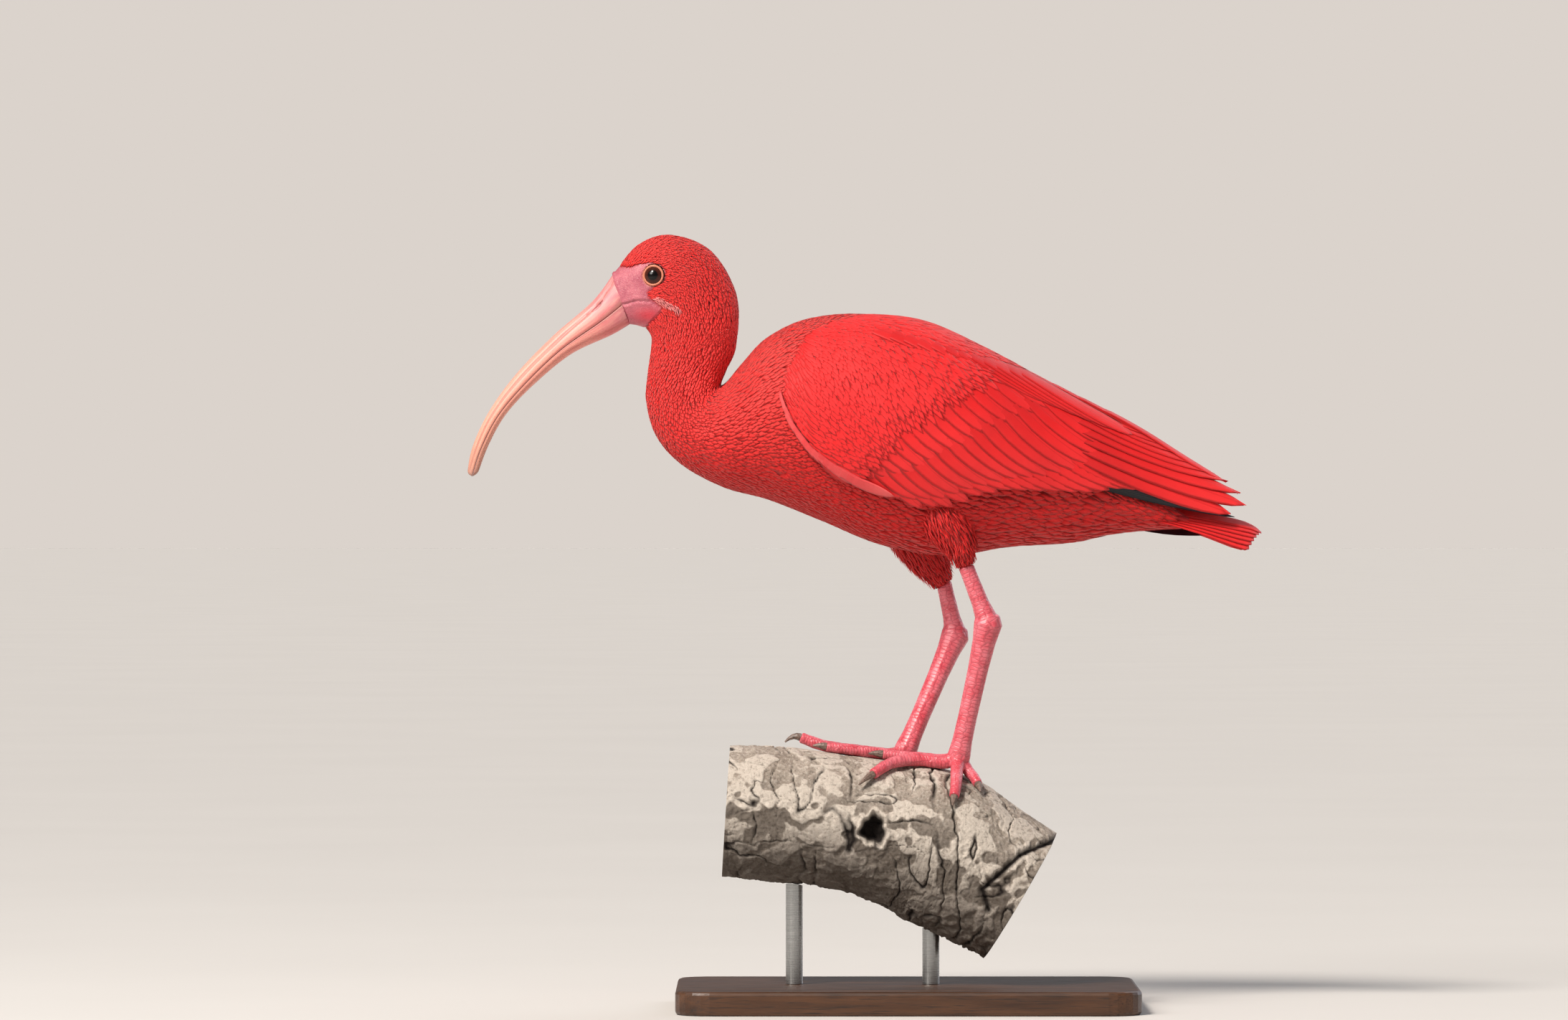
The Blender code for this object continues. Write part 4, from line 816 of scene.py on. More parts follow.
tint = mix(tree, ranged(tree, streaks, 0.42, 0.7, 0.0, 0.45), tint, "F3B9A2")
tint = mix(tree, ranged(tree, streaks, 0.2, 0.42, 0.4, 0.0), tint, "B5605A")
tint = mix(tree, ranged(tree, flakes, 0.6, 0.75, 0.0, 0.2), tint, "FAD2C0")
# Painted shade: the nasal groove and the mouth line between the bill's halves are darkened.
crease = node(tree, "VertexColor", {"layer_name": "Crease"}).outputs[0]
tree.links.new(mix(tree, crease, tint, "7E3A34"), bsdf.inputs["Base Color"])
tree.links.new(ranged(tree, streaks, 0.3, 0.7, 0.34, 0.5), bsdf.inputs["Roughness"])
bumped(tree, bsdf, math_node(tree, "ADD", streaks, math_node(tree, "MULTIPLY", flakes, 0.1)), 0.22, 0.0002)

# A wet dark eye: black pupil in a deep brown iris under a clear cornea.
wet, tree, bsdf = material("wet_eye", {"Roughness": 0.25, "Specular IOR Level": 0.1, "Coat Weight": 0.45,
                                       "Coat Roughness": 0.02})
off_axis = node(tree, "SeparateColor", None,
                {0: node(tree, "VertexColor", {"layer_name": "Iris"}).outputs[0]}).outputs[0]
iris = node(tree, "ValToRGB", {"stops": [(0.0, "020101"), (0.5, "020101"), (0.56, "3A140C"), (0.8, "4A1E12"),
                                         (1.0, "140807")]}, {0: off_axis}).outputs[0]
rays = object_noise(tree, 2600.0, 3.0, 0.6)
tree.links.new(mix(tree, ranged(tree, rays, 0.4, 0.7, 0.0, 0.4), iris, "120504"), bsdf.inputs["Base Color"])

# Bare leg skin: glossy pink with rings of scutes down the front and small scales elsewhere.
leg_skin, tree, bsdf = material("leg_scutes", {"Roughness": 0.36, "Specular IOR Level": 0.5, "Coat Weight": 0.2,
                                               "Coat Roughness": 0.25, "Subsurface Weight": 0.06,
                                               "Subsurface Radius": (0.002, 0.0008, 0.0006),
                                               "Subsurface Scale": 1.0})
where = node(tree, "UVMap", {"uv_map": "Scutes"}).outputs[0]
scute_edges = node(tree, "TexVoronoi", {"feature": "DISTANCE_TO_EDGE"}, {"Vector": where, "Scale": 1.0,
                                                                        "Randomness": 0.45}).outputs["Distance"]
blotch = object_noise(tree, 120.0, 4.0, 0.6)
fine = object_noise(tree, 1500.0, 3.0, 0.6)
tint = mix(tree, ranged(tree, blotch, 0.35, 0.65), "CC4654", "E07480")
tint = mix(tree, ranged(tree, scute_edges, 0.0, 0.12, 0.55, 0.0), tint, "982C3A")
tint = mix(tree, ranged(tree, fine, 0.55, 0.75, 0.0, 0.3), tint, "EE9EA0")
tree.links.new(tint, bsdf.inputs["Base Color"])
tree.links.new(ranged(tree, blotch, 0.3, 0.7, 0.3, 0.44), bsdf.inputs["Roughness"])
bumped(tree, bsdf, math_node(tree, "ADD", ranged(tree, scute_edges, 0.0, 0.2), math_node(tree, "MULTIPLY", fine, 0.3)),
       0.5, 0.0004)

# Claw horn: grey-brown, paler at the root, worn and faintly ridged.
claw_horn, tree, bsdf = material("claw_horn", {"Roughness": 0.42, "Specular IOR Level": 0.5})
grain = object_noise(tree, 900.0, 4.0, 0.6)
tree.links.new(mix(tree, ranged(tree, grain, 0.35, 0.7), "4E4038", "8A7468"), bsdf.inputs["Base Color"])
tree.links.new(ranged(tree, grain, 0.3, 0.7, 0.35, 0.55), bsdf.inputs["Roughness"])
bumped(tree, bsdf, grain, 0.4, 0.0003)

# Dead bark: pale grey-cream flakes over darker grey-brown, cracked along and across, with painted shade underneath.
bark, tree, bsdf = material("weathered_bark", {"Roughness": 0.92, "Specular IOR Level": 0.25})
marks = node(tree, "SeparateColor", None, {0: node(tree, "VertexColor", {"layer_name": "Bark"}).outputs[0]})
dark_cracks_and_hole_shade, flake, under = marks.outputs
coarse = object_noise(tree, 60.0, 6.0, 0.62)
grit_and_painted_light = object_noise(tree, 520.0, 6.0, 0.7)
speck = object_noise(tree, 1700.0, 3.0, 0.6)
tint = mix(tree, ranged(tree, coarse, 0.35, 0.65), "8F8478", "AFA498")
tint = mix(tree, ranged(tree, flake, 0.35, 0.75), tint, "C4BAAE")
# Painted highlight and shade: the grit's raised points are lighter and its hollows darker.
tint = mix(tree, ranged(tree, grit_and_painted_light, 0.52, 0.7, 0.0, 0.65), tint, "DAD1C7")
tint = mix(tree, ranged(tree, grit_and_painted_light, 0.3, 0.47, 0.75, 0.0), tint, "4E443C")
# Painted shade: the bark darkens towards the limb's underside, and where the pale flakes are missing.
tint = mix(tree, math_node(tree, "MULTIPLY", under, 0.75), tint, "4A423B")
tint = mix(tree, ranged(tree, speck, 0.6, 0.75, 0.0, 0.35), tint, "2E2824")
# The first mark darkens the cracks and the scar, and paints shade inside the knot hole.
tint = mix(tree, ranged(tree, dark_cracks_and_hole_shade, 0.15, 0.8), tint, "1C1613")
tree.links.new(tint, bsdf.inputs["Base Color"])
bumped(tree, bsdf, math_node(tree, "ADD", math_node(tree, "MULTIPLY", coarse, 0.6), grit_and_painted_light), 0.9, 0.0012)

# The sawn ends of the limb: growth rings, drying cracks and saw marks.
sawn, tree, bsdf = material("sawn_wood", {"Roughness": 0.8, "Specular IOR Level": 0.3})
disc = node(tree, "UVMap", {"uv_map": "Disc"}).outputs[0]
spread = node(tree, "VectorMath", {"operation": "LENGTH"}, {0: disc}).outputs["Value"]
wobble = object_noise(tree, 40.0, 3.0)
ring_at = math_node(tree, "ADD", math_node(tree, "MULTIPLY", spread, 4200.0), math_node(tree, "MULTIPLY", wobble, 16.0))
rings = math_node(tree, "SINE", ring_at)
ray = node(tree, "VectorMath", {"operation": "NORMALIZE"}, {0: disc}).outputs["Vector"]
rays = object_noise(tree, 9.0, 2.0, 0.5, ray)
tint = mix(tree, ranged(tree, rings, -0.6, 0.9), "A88C6C", "97795A")
tint = mix(tree, ranged(tree, spread, 0.033, 0.037), tint, "4A382C")
tint = mix(tree, ranged(tree, rays, 0.62, 0.66, 0.0, 0.8), tint, "4E3B2B")
tint = mix(tree, ranged(tree, object_noise(tree, 500.0, 4.0), 0.45, 0.7, 0.0, 0.6), tint, "7A6248")
tree.links.new(tint, bsdf.inputs["Base Color"])
bumped(tree, bsdf, rings, 0.2, 0.0004)

# The stand's base: oiled dark hardwood with open grain along its length.
hardwood, tree, bsdf = material("oiled_hardwood", {"Roughness": 0.42, "Specular IOR Level": 0.45,
                                                  "Coat Weight": 0.12, "Coat Roughness": 0.35})
spot = node(tree, "Mapping", None, {"Vector": node(tree, "TexCoord").outputs["Object"], "Scale": (6.0, 60.0, 60.0)})
grain = object_noise(tree, 1.6, 5.0, 0.6, spot.outputs[0])
pores = node(tree, "Mapping", None, {"Vector": node(tree, "TexCoord").outputs["Object"],
                                     "Scale": (60.0, 1500.0, 1500.0)})
pore = object_noise(tree, 1.0, 2.0, 0.5, pores.outputs[0])
tint = mix(tree, ranged(tree, grain, 0.3, 0.7), "2C1A10", "5E3C24")
tint = mix(tree, ranged(tree, pore, 0.55, 0.7, 0.0, 0.7), tint, "1A0F09")
tree.links.new(tint, bsdf.inputs["Base Color"])
tree.links.new(ranged(tree, pore, 0.4, 0.7, 0.36, 0.6), bsdf.inputs["Roughness"])
bumped(tree, bsdf, pore, 0.15, 0.0003)

# The rods: brushed stainless steel with fine marks round them.
brushed, tree, bsdf = material("brushed_steel", {"Base Color": "B4B4B2", "Metallic": 1.0, "Roughness": 0.3})
lines = node(tree, "Mapping", None, {"Vector": node(tree, "TexCoord").outputs["Object"],
                                     "Scale": (80.0, 80.0, 6000.0)})
scratch = object_noise(tree, 1.0, 3.0, 0.6, lines.outputs[0])
tree.links.new(mix(tree, ranged(tree, scratch, 0.35, 0.7), "A2A2A0", "C6C6C4"), bsdf.inputs["Base Color"])
tree.links.new(ranged(tree, scratch, 0.3, 0.7, 0.22, 0.4), bsdf.inputs["Roughness"])
bumped(tree, bsdf, scratch, 0.1, 0.0001)


# The coat

def under_wing(points):
    """Whether the folded wing hides this place of the body."""
    x, z = points[..., 0], points[..., 2]
    rows = np.array(FLESH)
    low = np.interp(x, rows[:, 0], rows[:, 1])
    high = np.where(x < -33, np.interp(x, rows[:, 0], rows[:, 2]), 999)
    hidden = (x > -71) & (z > low + 4) & (z < high - 2)
    return hidden | ((x >= 104) & (z > 308))


def body_bake(u, v):
    return np.stack([(v / (2 * math.pi)) % 1.0, u / TAIL_END], -1)


def body_coat(name, span, gap, longer, half, lifts, outline, seed, keep, lean=0.12, crest=0.28, soft=down):
    """A length of the body's coat: tufts about gap(points) apart, pointing towards the tail."""
    rng = np.random.default_rng(seed)
    u, v, spacing = scatter(body_place, span, (-math.pi, math.pi), gap, keep, rng)
    count = len(u)
    vary = rng.uniform(0.85, 1.15, count)
    rise = (lifts[0] + 0 * u, lifts[1] + rng.uniform(-0.06, 0.1, count))
    block = surface_feathers(body_place, u, v, rng.normal(0, lean, count), spacing * longer * vary,
                             spacing * half * vary, rise, outline, rng, crest=crest, tuck=0.1)
    block["bake"] = body_bake(u, v)
    return feather_piece(name, [block], soft, "plumage")


# The pale streak of short feathers behind the corner of the mouth, from the side.
STREAK = [(-147.5, 414.0), (-142.0, 412.4), (-134.0, 409.2)]


def in_streak(points):
    near = distance_to(points[..., [0, 2]], STREAK) < np.interp(points[..., 0], [-147, -134], [2.0, 1.4])
    return near & (bareness(points) < 0.5)


def feathered(points):
    return (bareness(points) < 0.4) & ~in_streak(points)


def face_gap(points):
    """Tufts are smallest next to the bare face and grow towards the nape."""
    flat = points[..., [0, 2]]
    away = distance_to(flat, BARE_FACE, closed=True)
    return np.clip(0.75 + away * 0.018, 0.75, 1.3)


def neck_gap(points):
    return np.clip(1.3 + (355.0 - points[..., 2]) * 0.01, 1.25, 1.8)


def breast_gap(points):
    return np.full(points.shape[:-1], 1.6)


def belly_gap(points):
    return np.clip(1.8 + (points[..., 0] + 80.0) * 0.008, 1.8, 3.2)


def open_body(points):
    return ~under_wing(points)


body_coat("coat_head", (0.05, 4.6), face_gap, 4.0, 0.8, (-0.5, 0.05), TUFT, 11, feathered, 0.16, 0.08)
body_coat("coat_gape", (0.5, 4.3), face_gap, 4.2, 0.5, (-0.4, 0.7), HAIRY, 15, in_streak, 0.16, 0.1, palest)
body_coat("coat_neck", (4.4, 8.0), neck_gap, 4.2, 1.0, (-0.6, 0.05), TUFT, 12, feathered, 0.09, 0.05)
body_coat("coat_breast", (7.8, 11.2), breast_gap, 5.4, 1.15, (-0.75, 0.05), LANCE, 13, open_body, 0.05, 0.03)
body_coat("coat_belly", (11.0, 16.8), belly_gap, 5.4, 1.1, (-0.9, 0.1), LANCE, 14, open_body, 0.05, 0.04)


def thigh_coat(name, seed):
    """Shaggy pointed tufts that hang down and back over the thigh."""
    rng = np.random.default_rng(seed)
    place = thigh_place(name)
    u, v, spacing = scatter(place, (0.0, 2.95), (-math.pi, math.pi), lambda p: np.full(p.shape[:-1], 1.7),
                            lambda p: p[..., 2] < 303, rng)
    count = len(u)
    rise = (np.full(count, -1.6), rng.uniform(0.0, 1.7, count))
    length = rng.uniform(6.5, 10.5, count) * np.clip(1.5 - u * 0.28, 0.6, 1.0)
    block = surface_feathers(place, u, v, rng.normal(0, 0.14, count), length, rng.uniform(0.55, 1.0, count), rise,
                             HAIRY, rng, crest=0.3)
    block["bake"] = np.stack([(v / (2 * math.pi)) % 1.0, u / 3], -1)
    return feather_piece(f"coat_thigh_{name}", [block], down, "plumage")


for seed, name in enumerate(SIDES):
    thigh_coat(name, 21 + seed)


def covert_flow(place):
    """The coverts' direction on the wing's own surface, so that from the side they follow wing_flow."""
    def turn(x, angle):
        point = place(x, angle, 0 * x)
        along, _ = rates(place, x, angle)
        return wing_flow(point[..., 0], point[..., 2]) - np.arctan2(-along[..., 2], along[..., 0])
    return turn


def wing_bake(u, v):
    return np.stack([v / math.pi, (u + 80) / 290], -1)


def small_coverts(side_name, seed):
    """The wing's small coverts, velvety at the shoulder and longer towards the rear."""
    side = SIDES[side_name]
    place = wing_place(side)
    rng = np.random.default_rng(seed)

    def gap(points):
        behind = (points[..., 0] + 72) * 0.8 + (380 - points[..., 2]) * 0.15
        return np.clip(1.5 + behind * 0.014, 1.5, 3.0)

    def keep(points):
        x, z = points[..., 0], points[..., 2]
        front = np.interp(z, WING_FRONT[1], WING_FRONT[0])
        high = z > height_at(SMALL_END, x)
        return high & (z > height_at(WING_EDGE, x) + 2) & (x > front) & (x < 96)

    u, v, spacing = scatter(place, (-74, 96), (0.02, 2.0), gap, keep, rng)
    count = len(u)
    points = place(u, v, 0 * u)
    # The shoulder stands proud of the body, and the coat thins out to the feathers of the back behind it.
    proud = np.interp(points[:, 0], [-74, -60, 20, 60, 96], [0.3, 2.3, 2.8, 2.2, 1.0])
    settled = 0.8 * np.clip(1 - distance_to(points[:, [0, 2]], SMALL_END) / 8.0, 0, 1)
    rise = (proud - 0.5, proud - settled + rng.uniform(0.0, 0.1, count))
    flow = covert_flow(place)
    lean = rng.normal(0, 0.03, count)
    length = spacing * rng.uniform(6.0, 8.0, count)
    block = surface_feathers(place, u, v, lambda a, b: flow(a, b) + lean, length, spacing * 1.15, rise, LANCE, rng,
                             across=5, crest=0.06, tuck=0.16)
    block["bake"] = wing_bake(u, v)
    feather_piece(f"coverts_small_{side_name}", [block], velvet, "plumage")


def long_feathers(side_name, seed):
    """The tiers of flight feathers and coverts, from the black primaries up to the ridge."""
    side = SIDES[side_name]
    rng = np.random.default_rng(seed)
    blocks = {"flight": [], "primary": [], "marginal": []}
    tiers = TIERS + (LOW_PRIMARIES if side_name == "right" else [])
    for tier, count, root_line, tip_line, half, upper, lower, settle, bow, outline in tiers:
        f = np.linspace(0, 1, count)
        roots, tips = line_at(root_line, f), line_at(tip_line, f)
        tips = tips + rng.uniform(-0.6, 0.6, tips.shape)
        turned = ridge_angle if tier == "ridge" else wing_angle
        halves = np.interp(f, (0, 1), np.broadcast_to(half, 2)) * rng.uniform(0.95, 1.05, count)
        block = tier_feathers(side, roots, tips, halves, (upper, lower, settle), bow, outline, turned, rng)
        block["bake"] = np.stack([f * 0.9 + 0.05, np.full(count, 0.1 * TIER_ROW[tier])], -1)
        blocks[tier if tier in blocks else "flight"].append(block)
    feather_piece(f"flight_{side_name}", blocks["flight"], quill, "plumage")
    feather_piece(f"primaries_{side_name}", blocks["primary"], black_quill, "plumage")
    # The band along the front edge takes the painted highlight.
    feather_piece(f"coverts_marginal_{side_name}", blocks["marginal"], edge_painted_highlight, "plumage")


TIER_ROW = {row[0]: i for i, row in enumerate(TIERS)}
for seed, side_name in enumerate(SIDES):
    small_coverts(side_name, 31 + seed)
    long_feathers(side_name, 41 + seed)


def tail_height(x, y):
    """The height of the closed tail's upper face: it slopes back and falls off like a roof to each side."""
    (x0, z0), (x1, z1) = TAIL["root"], TAIL["tip"]
    f = (x - x0) / (x1 - x0)
    return z0 + (z1 - z0) * f + TAIL["bow"] * (1 - (1 - f) ** 4 - f ** 16) - TAIL["slope"] * np.abs(y)


def tail_feathers():
    """The twelve tail feathers: a middle pair on top, and each next pair under it and further out."""
    rng = np.random.default_rng(51)
    f = np.concatenate([np.linspace(0, 0.84, 10), [0.9, 0.94, 0.97, 1.0]])
    widths = np.interp(f, [a for a, _ in ROUNDED], [b for _, b in ROUNDED])
    places = np.linspace(-1, 1, 7)
    grids, reaches, lengths = [], [], []
    for pair in range(TAIL["pairs"] + 1):
        x0, x1 = TAIL["root"][0], TAIL["tip"][0] - TAIL["shorter"] * pair
        for side in (1, -1):
            half = TAIL["middle_half"] * 0.75 if pair == 0 else TAIL["half"]
            turn = math.tan(math.radians(TAIL["fan"] * pair))
            x = (x0 + (x1 - x0) * f)[:, None] + 0 * places
            start = 2.0 if pair == 0 else TAIL["start"]
            y = start + turn * (x - x0) + half * widths[:, None] * places
            z = tail_height(x, y) - TAIL["layer"] * pair + 0.3 * (1 - places ** 2)
            z -= 1.5 * (f[:, None] ** 3) * (np.abs(y) / 11.0) ** 2
            grids.append(np.stack([x, side * y, z], -1))
            reaches.append(half * widths[:, None] * places)
            lengths.append((x1 - x0) * f)
    grid, reach = np.stack(grids), np.stack(reaches)
    count = len(grid)
    block = {
        "points": grid,
        "out": np.tile((0.0, 0.0, 1.0), (count, 1)),
        "across": reach,
        "along": np.stack(lengths),
        "share": np.broadcast_to(f[None, :, None], reach.shape),
        "place": np.broadcast_to(places, reach.shape),
        "tone": rng.random(count),
        "painted_shade": np.zeros(reach.shape),
        "bake": np.stack([np.linspace(0.05, 0.95, count), np.full(count, 0.98)], -1),
    }
    feather_piece("tail_feathers", [block], quill, "plumage")


tail_feathers()


# Skin

def skin_depth(s, points):
    """How far the skin lies inside the coat's surface: hardly on the bare face, more towards the belly."""
    coat = np.interp(s, [0, 0.6, 4, 7, 10, 18], [0.5, 1.0, 1.3, 1.6, 2.2, 1.8])
    front = np.interp(s, [0.0, 0.5], [0.0, 0.45])
    naked = bareness(points)
    return coat * (1 - naked) + front * naked


def face_relief(points):
    """Folds of the bare face: the line of the mouth between its lips, the rim round the eye, the throat pouch."""
    flat = points[..., [0, 2]]
    mouth = distance_to(flat, MOUTH_CORNER)
    eye = np.hypot(flat[..., 0] - EYE["x"], flat[..., 1] - EYE["z"])
    pouch = np.hypot((flat[..., 0] + 153.0) / 8.0, (flat[..., 1] - 404.5) / 4.5)
    lores = np.hypot((flat[..., 0] + 159.0) / 5.0, (flat[..., 1] - 422.0) / 4.0)
    relief = -0.95 * np.exp(-(mouth / 0.65) ** 2) + 0.35 * np.exp(-((mouth - 1.6) / 0.9) ** 2)
    relief += 0.4 * np.exp(-((eye - 7.5) / 0.6) ** 2) - 0.3 * np.exp(-((eye - 6.6) / 0.4) ** 2) + 0.5 * np.exp(-pouch ** 2) - 0.45 * np.exp(-lores ** 2)
    aside = np.clip(np.abs(points[..., 1]) / 5.0, 0, 1)
    return relief * aside


def eye_frame(side):
    """The way the eye looks, the middle of the ball and the middle of the opening."""
    look = Vector((-math.sin(EYE["turn"]), side * math.cos(EYE["turn"]), EYE["rise"])).normalized()
    s = np.linspace(0, HEAD_END, 400)[:, None]
    angle = side * np.linspace(0.1, 3.0, 400)[None]
    surface = body_place(s + 0 * angle, angle + 0 * s, 0 * s * angle)
    miss = np.hypot(surface[..., 0] - EYE["x"], surface[..., 2] - EYE["z"])
    y = surface[..., 1].ravel()[miss.argmin()]
    rim = Vector((EYE["x"], y, EYE["z"]))
    return look, rim - look * math.sqrt(EYE["ball"] ** 2 - EYE["opening"] ** 2), rim


def ball(name, centre, radius, segments=48, rings=32):
    mesh = bpy.data.meshes.new(name)
    form = bmesh.new()
    bmesh.ops.create_uvsphere(form, u_segments=segments, v_segments=rings, radius=radius * MM)
    bmesh.ops.translate(form, verts=form.verts, vec=Vector(centre) * MM)
    form.to_mesh(mesh)
    form.free()
    return link(name, mesh)


def body_skin():
    """The skin from the bill's root to the tail, in fine rings."""
    s = np.concatenate([np.linspace(0, HEAD_END, 120)[:-1], np.linspace(HEAD_END, 8, 60)[:-1], np.linspace(8, 18, 90)])
    angle = np.linspace(-math.pi, math.pi, 161)[:-1]
    s_grid, a_grid = np.meshgrid(s, angle, indexing="ij")
    outer = body_place(s_grid, a_grid, 0 * s_grid)
    naked = bareness(outer)
    rings = body_place(s_grid, a_grid, face_relief(outer) * naked - skin_depth(s_grid, outer))
    # A lip of skin runs on over the root of the bill and ends under its surface.
    lip = [body_place(s_grid[:1], a_grid[:1], np.full((1, len(angle)), -depth))[0] + np.array((-ahead * 0.97, 0, 0.25))
           for ahead, depth in ((2.4, 1.6), (1.3, 0.5))]
    return lofted("skin_body", np.concatenate([np.stack(lip), rings]))


def wing_flesh(side_name):
    """The fleshy part of a wing, from its outer skin into the torso."""
    side = SIDES[side_name]
    place = wing_place(side)
    rows = np.array(FLESH)
    rings = []
    for x in np.linspace(-71, 100, 60):
        low, high = np.interp(x, rows[:, 0], rows[:, 1]) + 1.5, np.interp(x, rows[:, 0], rows[:, 2]) - 1.0
        angle = np.linspace(wing_angle(x, high), wing_angle(x, low), 26)
        edge = np.clip(1 - (1 - np.linspace(0, 1, 26)) * 6, 0, 1)
        top = np.interp(x, [-71, -50, 20, 60, 100], [-0.6, 0.6, 0.4, -1.6, -3.4])
        outer = place(np.full(26, x), angle, top - 1.2 * edge)
        inner = place(np.full(26, x), angle[::-1], np.full(26, -9.0))
        rings.append(np.concatenate([outer, inner]))
    return lofted(f"wing_flesh_{side_name}", np.stack(rings))


def thigh_flesh(name):
    u = np.linspace(0, 3, 24)
    angle = np.linspace(0, 2 * math.pi, 37)[:-1]
    u, angle = np.meshgrid(u, angle, indexing="ij")
    return lofted(f"thigh_flesh_{name}", thigh_place(name)(u, angle, np.full(u.shape, -1.6)))


def point_marks(obj):
    """Marks the bare face, the ring round the eye and the flush of the throat on the skin's points."""
    points = coordinates(obj.data)
    flat = points[:, [0, 2]]
    eye = np.hypot(flat[:, 0] - EYE["x"], flat[:, 1] - EYE["z"])
    near_head = (points[:, 0] < -138) & (points[:, 2] > 392)
    naked = bareness(points) * near_head
    ring = np.clip(1 - (eye - 6.0) / 1.0, 0, 1) * near_head
    flush = np.exp(-((flat[:, 0] + 151) / 9) ** 2 - ((flat[:, 1] - 405) / 5) ** 2) * near_head
    point_colour(obj.data, "Face", np.stack([naked, ring, flush], -1))


def whole_skin():
    body = body_skin()
    flesh = [wing_flesh(name) for name in SIDES] + [thigh_flesh(name) for name in SIDES]
    combine(body, flesh, "UNION", "MANIFOLD")
    sockets = []
    for name, side in SIDES.items():
        _, centre, _ = eye_frame(side)
        sockets.append(ball(f"socket_{name}", centre, EYE["ball"] + 0.12))
    combine(body, sockets, "DIFFERENCE", "MANIFOLD")
    body.data.shade_smooth()
    point_marks(body)
    piece(body, "plumage", "head", "neck_upper", "neck_lower", "torso", "tail", "wing_left", "wing_right",
          "thigh_left", "thigh_right", material=skin)


whole_skin()


def eyes():
    """Eyeballs with a low cornea, and the lids round each as one soft creased ring."""
    for name, side in SIDES.items():
        look, centre, rim = eye_frame(side)
        eyeball = ball(f"eyeball_{name}", (0, 0, 0), EYE["ball"], 64, 48)
        eyeball.data.transform(Vector((0, 0, 1)).rotation_difference(look).to_matrix().to_4x4())
        points = coordinates(eyeball.data)
        facing = points @ np.array(look) / EYE["ball"]
        away = np.linalg.norm(points - facing[:, None] * EYE["ball"] * np.array(look), axis=1)
        bulge = np.where(facing > 0, 0.45 * np.clip(1 - (away / 5.0) ** 2, 0, 1), 0)
        points += np.array(look) * bulge[:, None] + np.array(centre)
        eyeball.data.vertices.foreach_set("co", (points * MM).astype(np.float32).ravel())
        off = np.where(facing > 0, away / 5.6, 1.0)
        point_colour(eyeball.data, "Iris", np.stack([off] * 3, -1))
        eyeball.data.shade_smooth()
        piece(eyeball, "eye", f"eye_{name}", material=wet)

        level = Vector((0, 0, 1)).cross(look).normalized()
        rise = look.cross(level)
        around, across = 96, 14
        a = np.linspace(0, 2 * math.pi, around + 1)[:-1][:, None]
        b = np.linspace(0, 2 * math.pi, across + 1)[:-1][None]
        heavier = 1 + 0.22 * np.clip(np.sin(a), 0, 1)
        crease = 1 + 0.06 * np.sin(9 * a + 1.3) * np.cos(5 * a)
        out = np.cos(a)[..., None] * np.array(level) + np.sin(a)[..., None] * np.array(rise)
        width = 0.6 * heavier * crease
        middle = np.array(rim) + out * (EYE["opening"] + 0.25)
        ring = middle + out * (width * np.cos(b))[..., None] + np.array(look) * (1.1 * width * np.sin(b))[..., None]
        i, k = np.meshgrid(np.arange(around), np.arange(across), indexing="ij")
        quads = np.stack([i * across + k, (i + 1) % around * across + k, (i + 1) % around * across + (k + 1) % across,
                          i * across + (k + 1) % across], -1).reshape(-1, 4)
        lid = outward(link(f"eyelid_{name}", mesh_of(f"eyelid_{name}", ring.reshape(-1, 3), [quads])))
        lid.data.shade_smooth()
        point_colour(lid.data, "Face", np.tile((1.0, 1.0, 0.0), (around * across, 1)))
        piece(lid, "plumage", material=skin)


eyes()


# Bill

def bill_piece(upper):
    """One half of the bill in fine rings: rounded ridge, side groove, and a cutting edge at the mouth line."""
    rows = smooth_rows([(*culmen, *mouth, *chin, half) for culmen, mouth, chin, half in BILL], 161)
    f = np.linspace(0, 1, 161)
    sides = 40
    a = np.linspace(0, math.pi, sides + 1)
    rings, crease_shades, spots = [], [], []
    for share, row in zip(f, rows):
        culmen, mouth, chin = (np.array((row[k], 0.0, row[k + 1])) for k in (0, 2, 4))
        far = culmen if upper else chin
        up = unit(culmen - chin)
        start = mouth + up * (0.13 if upper else -0.13)
        # The nasal groove runs from the nostril to near the tip, and gets shallower and lower on the way.
        low = 0.52 + 0.3 * np.clip(share * 3, 0, 1)
        groove = np.exp(-((np.abs(np.cos(a)) - low) / 0.07) ** 2) * np.interp(share, [0, 0.1, 0.85, 1], [0.4, 1, 1, 0])
        edge = np.exp(-(np.sin(a) / 0.12) ** 2)
        size = 1 - (0.085 if upper else 0.03) * groove - 0.05 * edge
        blunt = math.sqrt(max(0.0, 1 - np.clip((share - 0.965) / 0.035, 0, 1) ** 2)) * 0.85 + 0.15
        ridge = (np.sin(a) * size)[:, None] * (far - mouth)
        aside = row[6] * np.cos(a) * size
        ring = start + (ridge + np.stack([0 * aside, aside, 0 * aside], -1)) * blunt
        rings.append(ring)
        # Painted shade darkens the nasal groove and the cutting edge along the mouth line.
        crease_shades.append(np.clip(groove * (0.55 if upper else 0.2) + 0.8 * edge, 0, 1))
        spots.append(np.stack([np.full(sides + 1, share), a / math.pi], -1))
    name = "bill_horn_upper" if upper else "bill_horn_lower"
    made = lofted(name, np.stack(rings))
    point_colour(made.data, "Crease", np.concatenate(crease_shades)[:, None] * np.ones(3))
    uv_map(made.data, "Along", np.concatenate(spots))
    return made


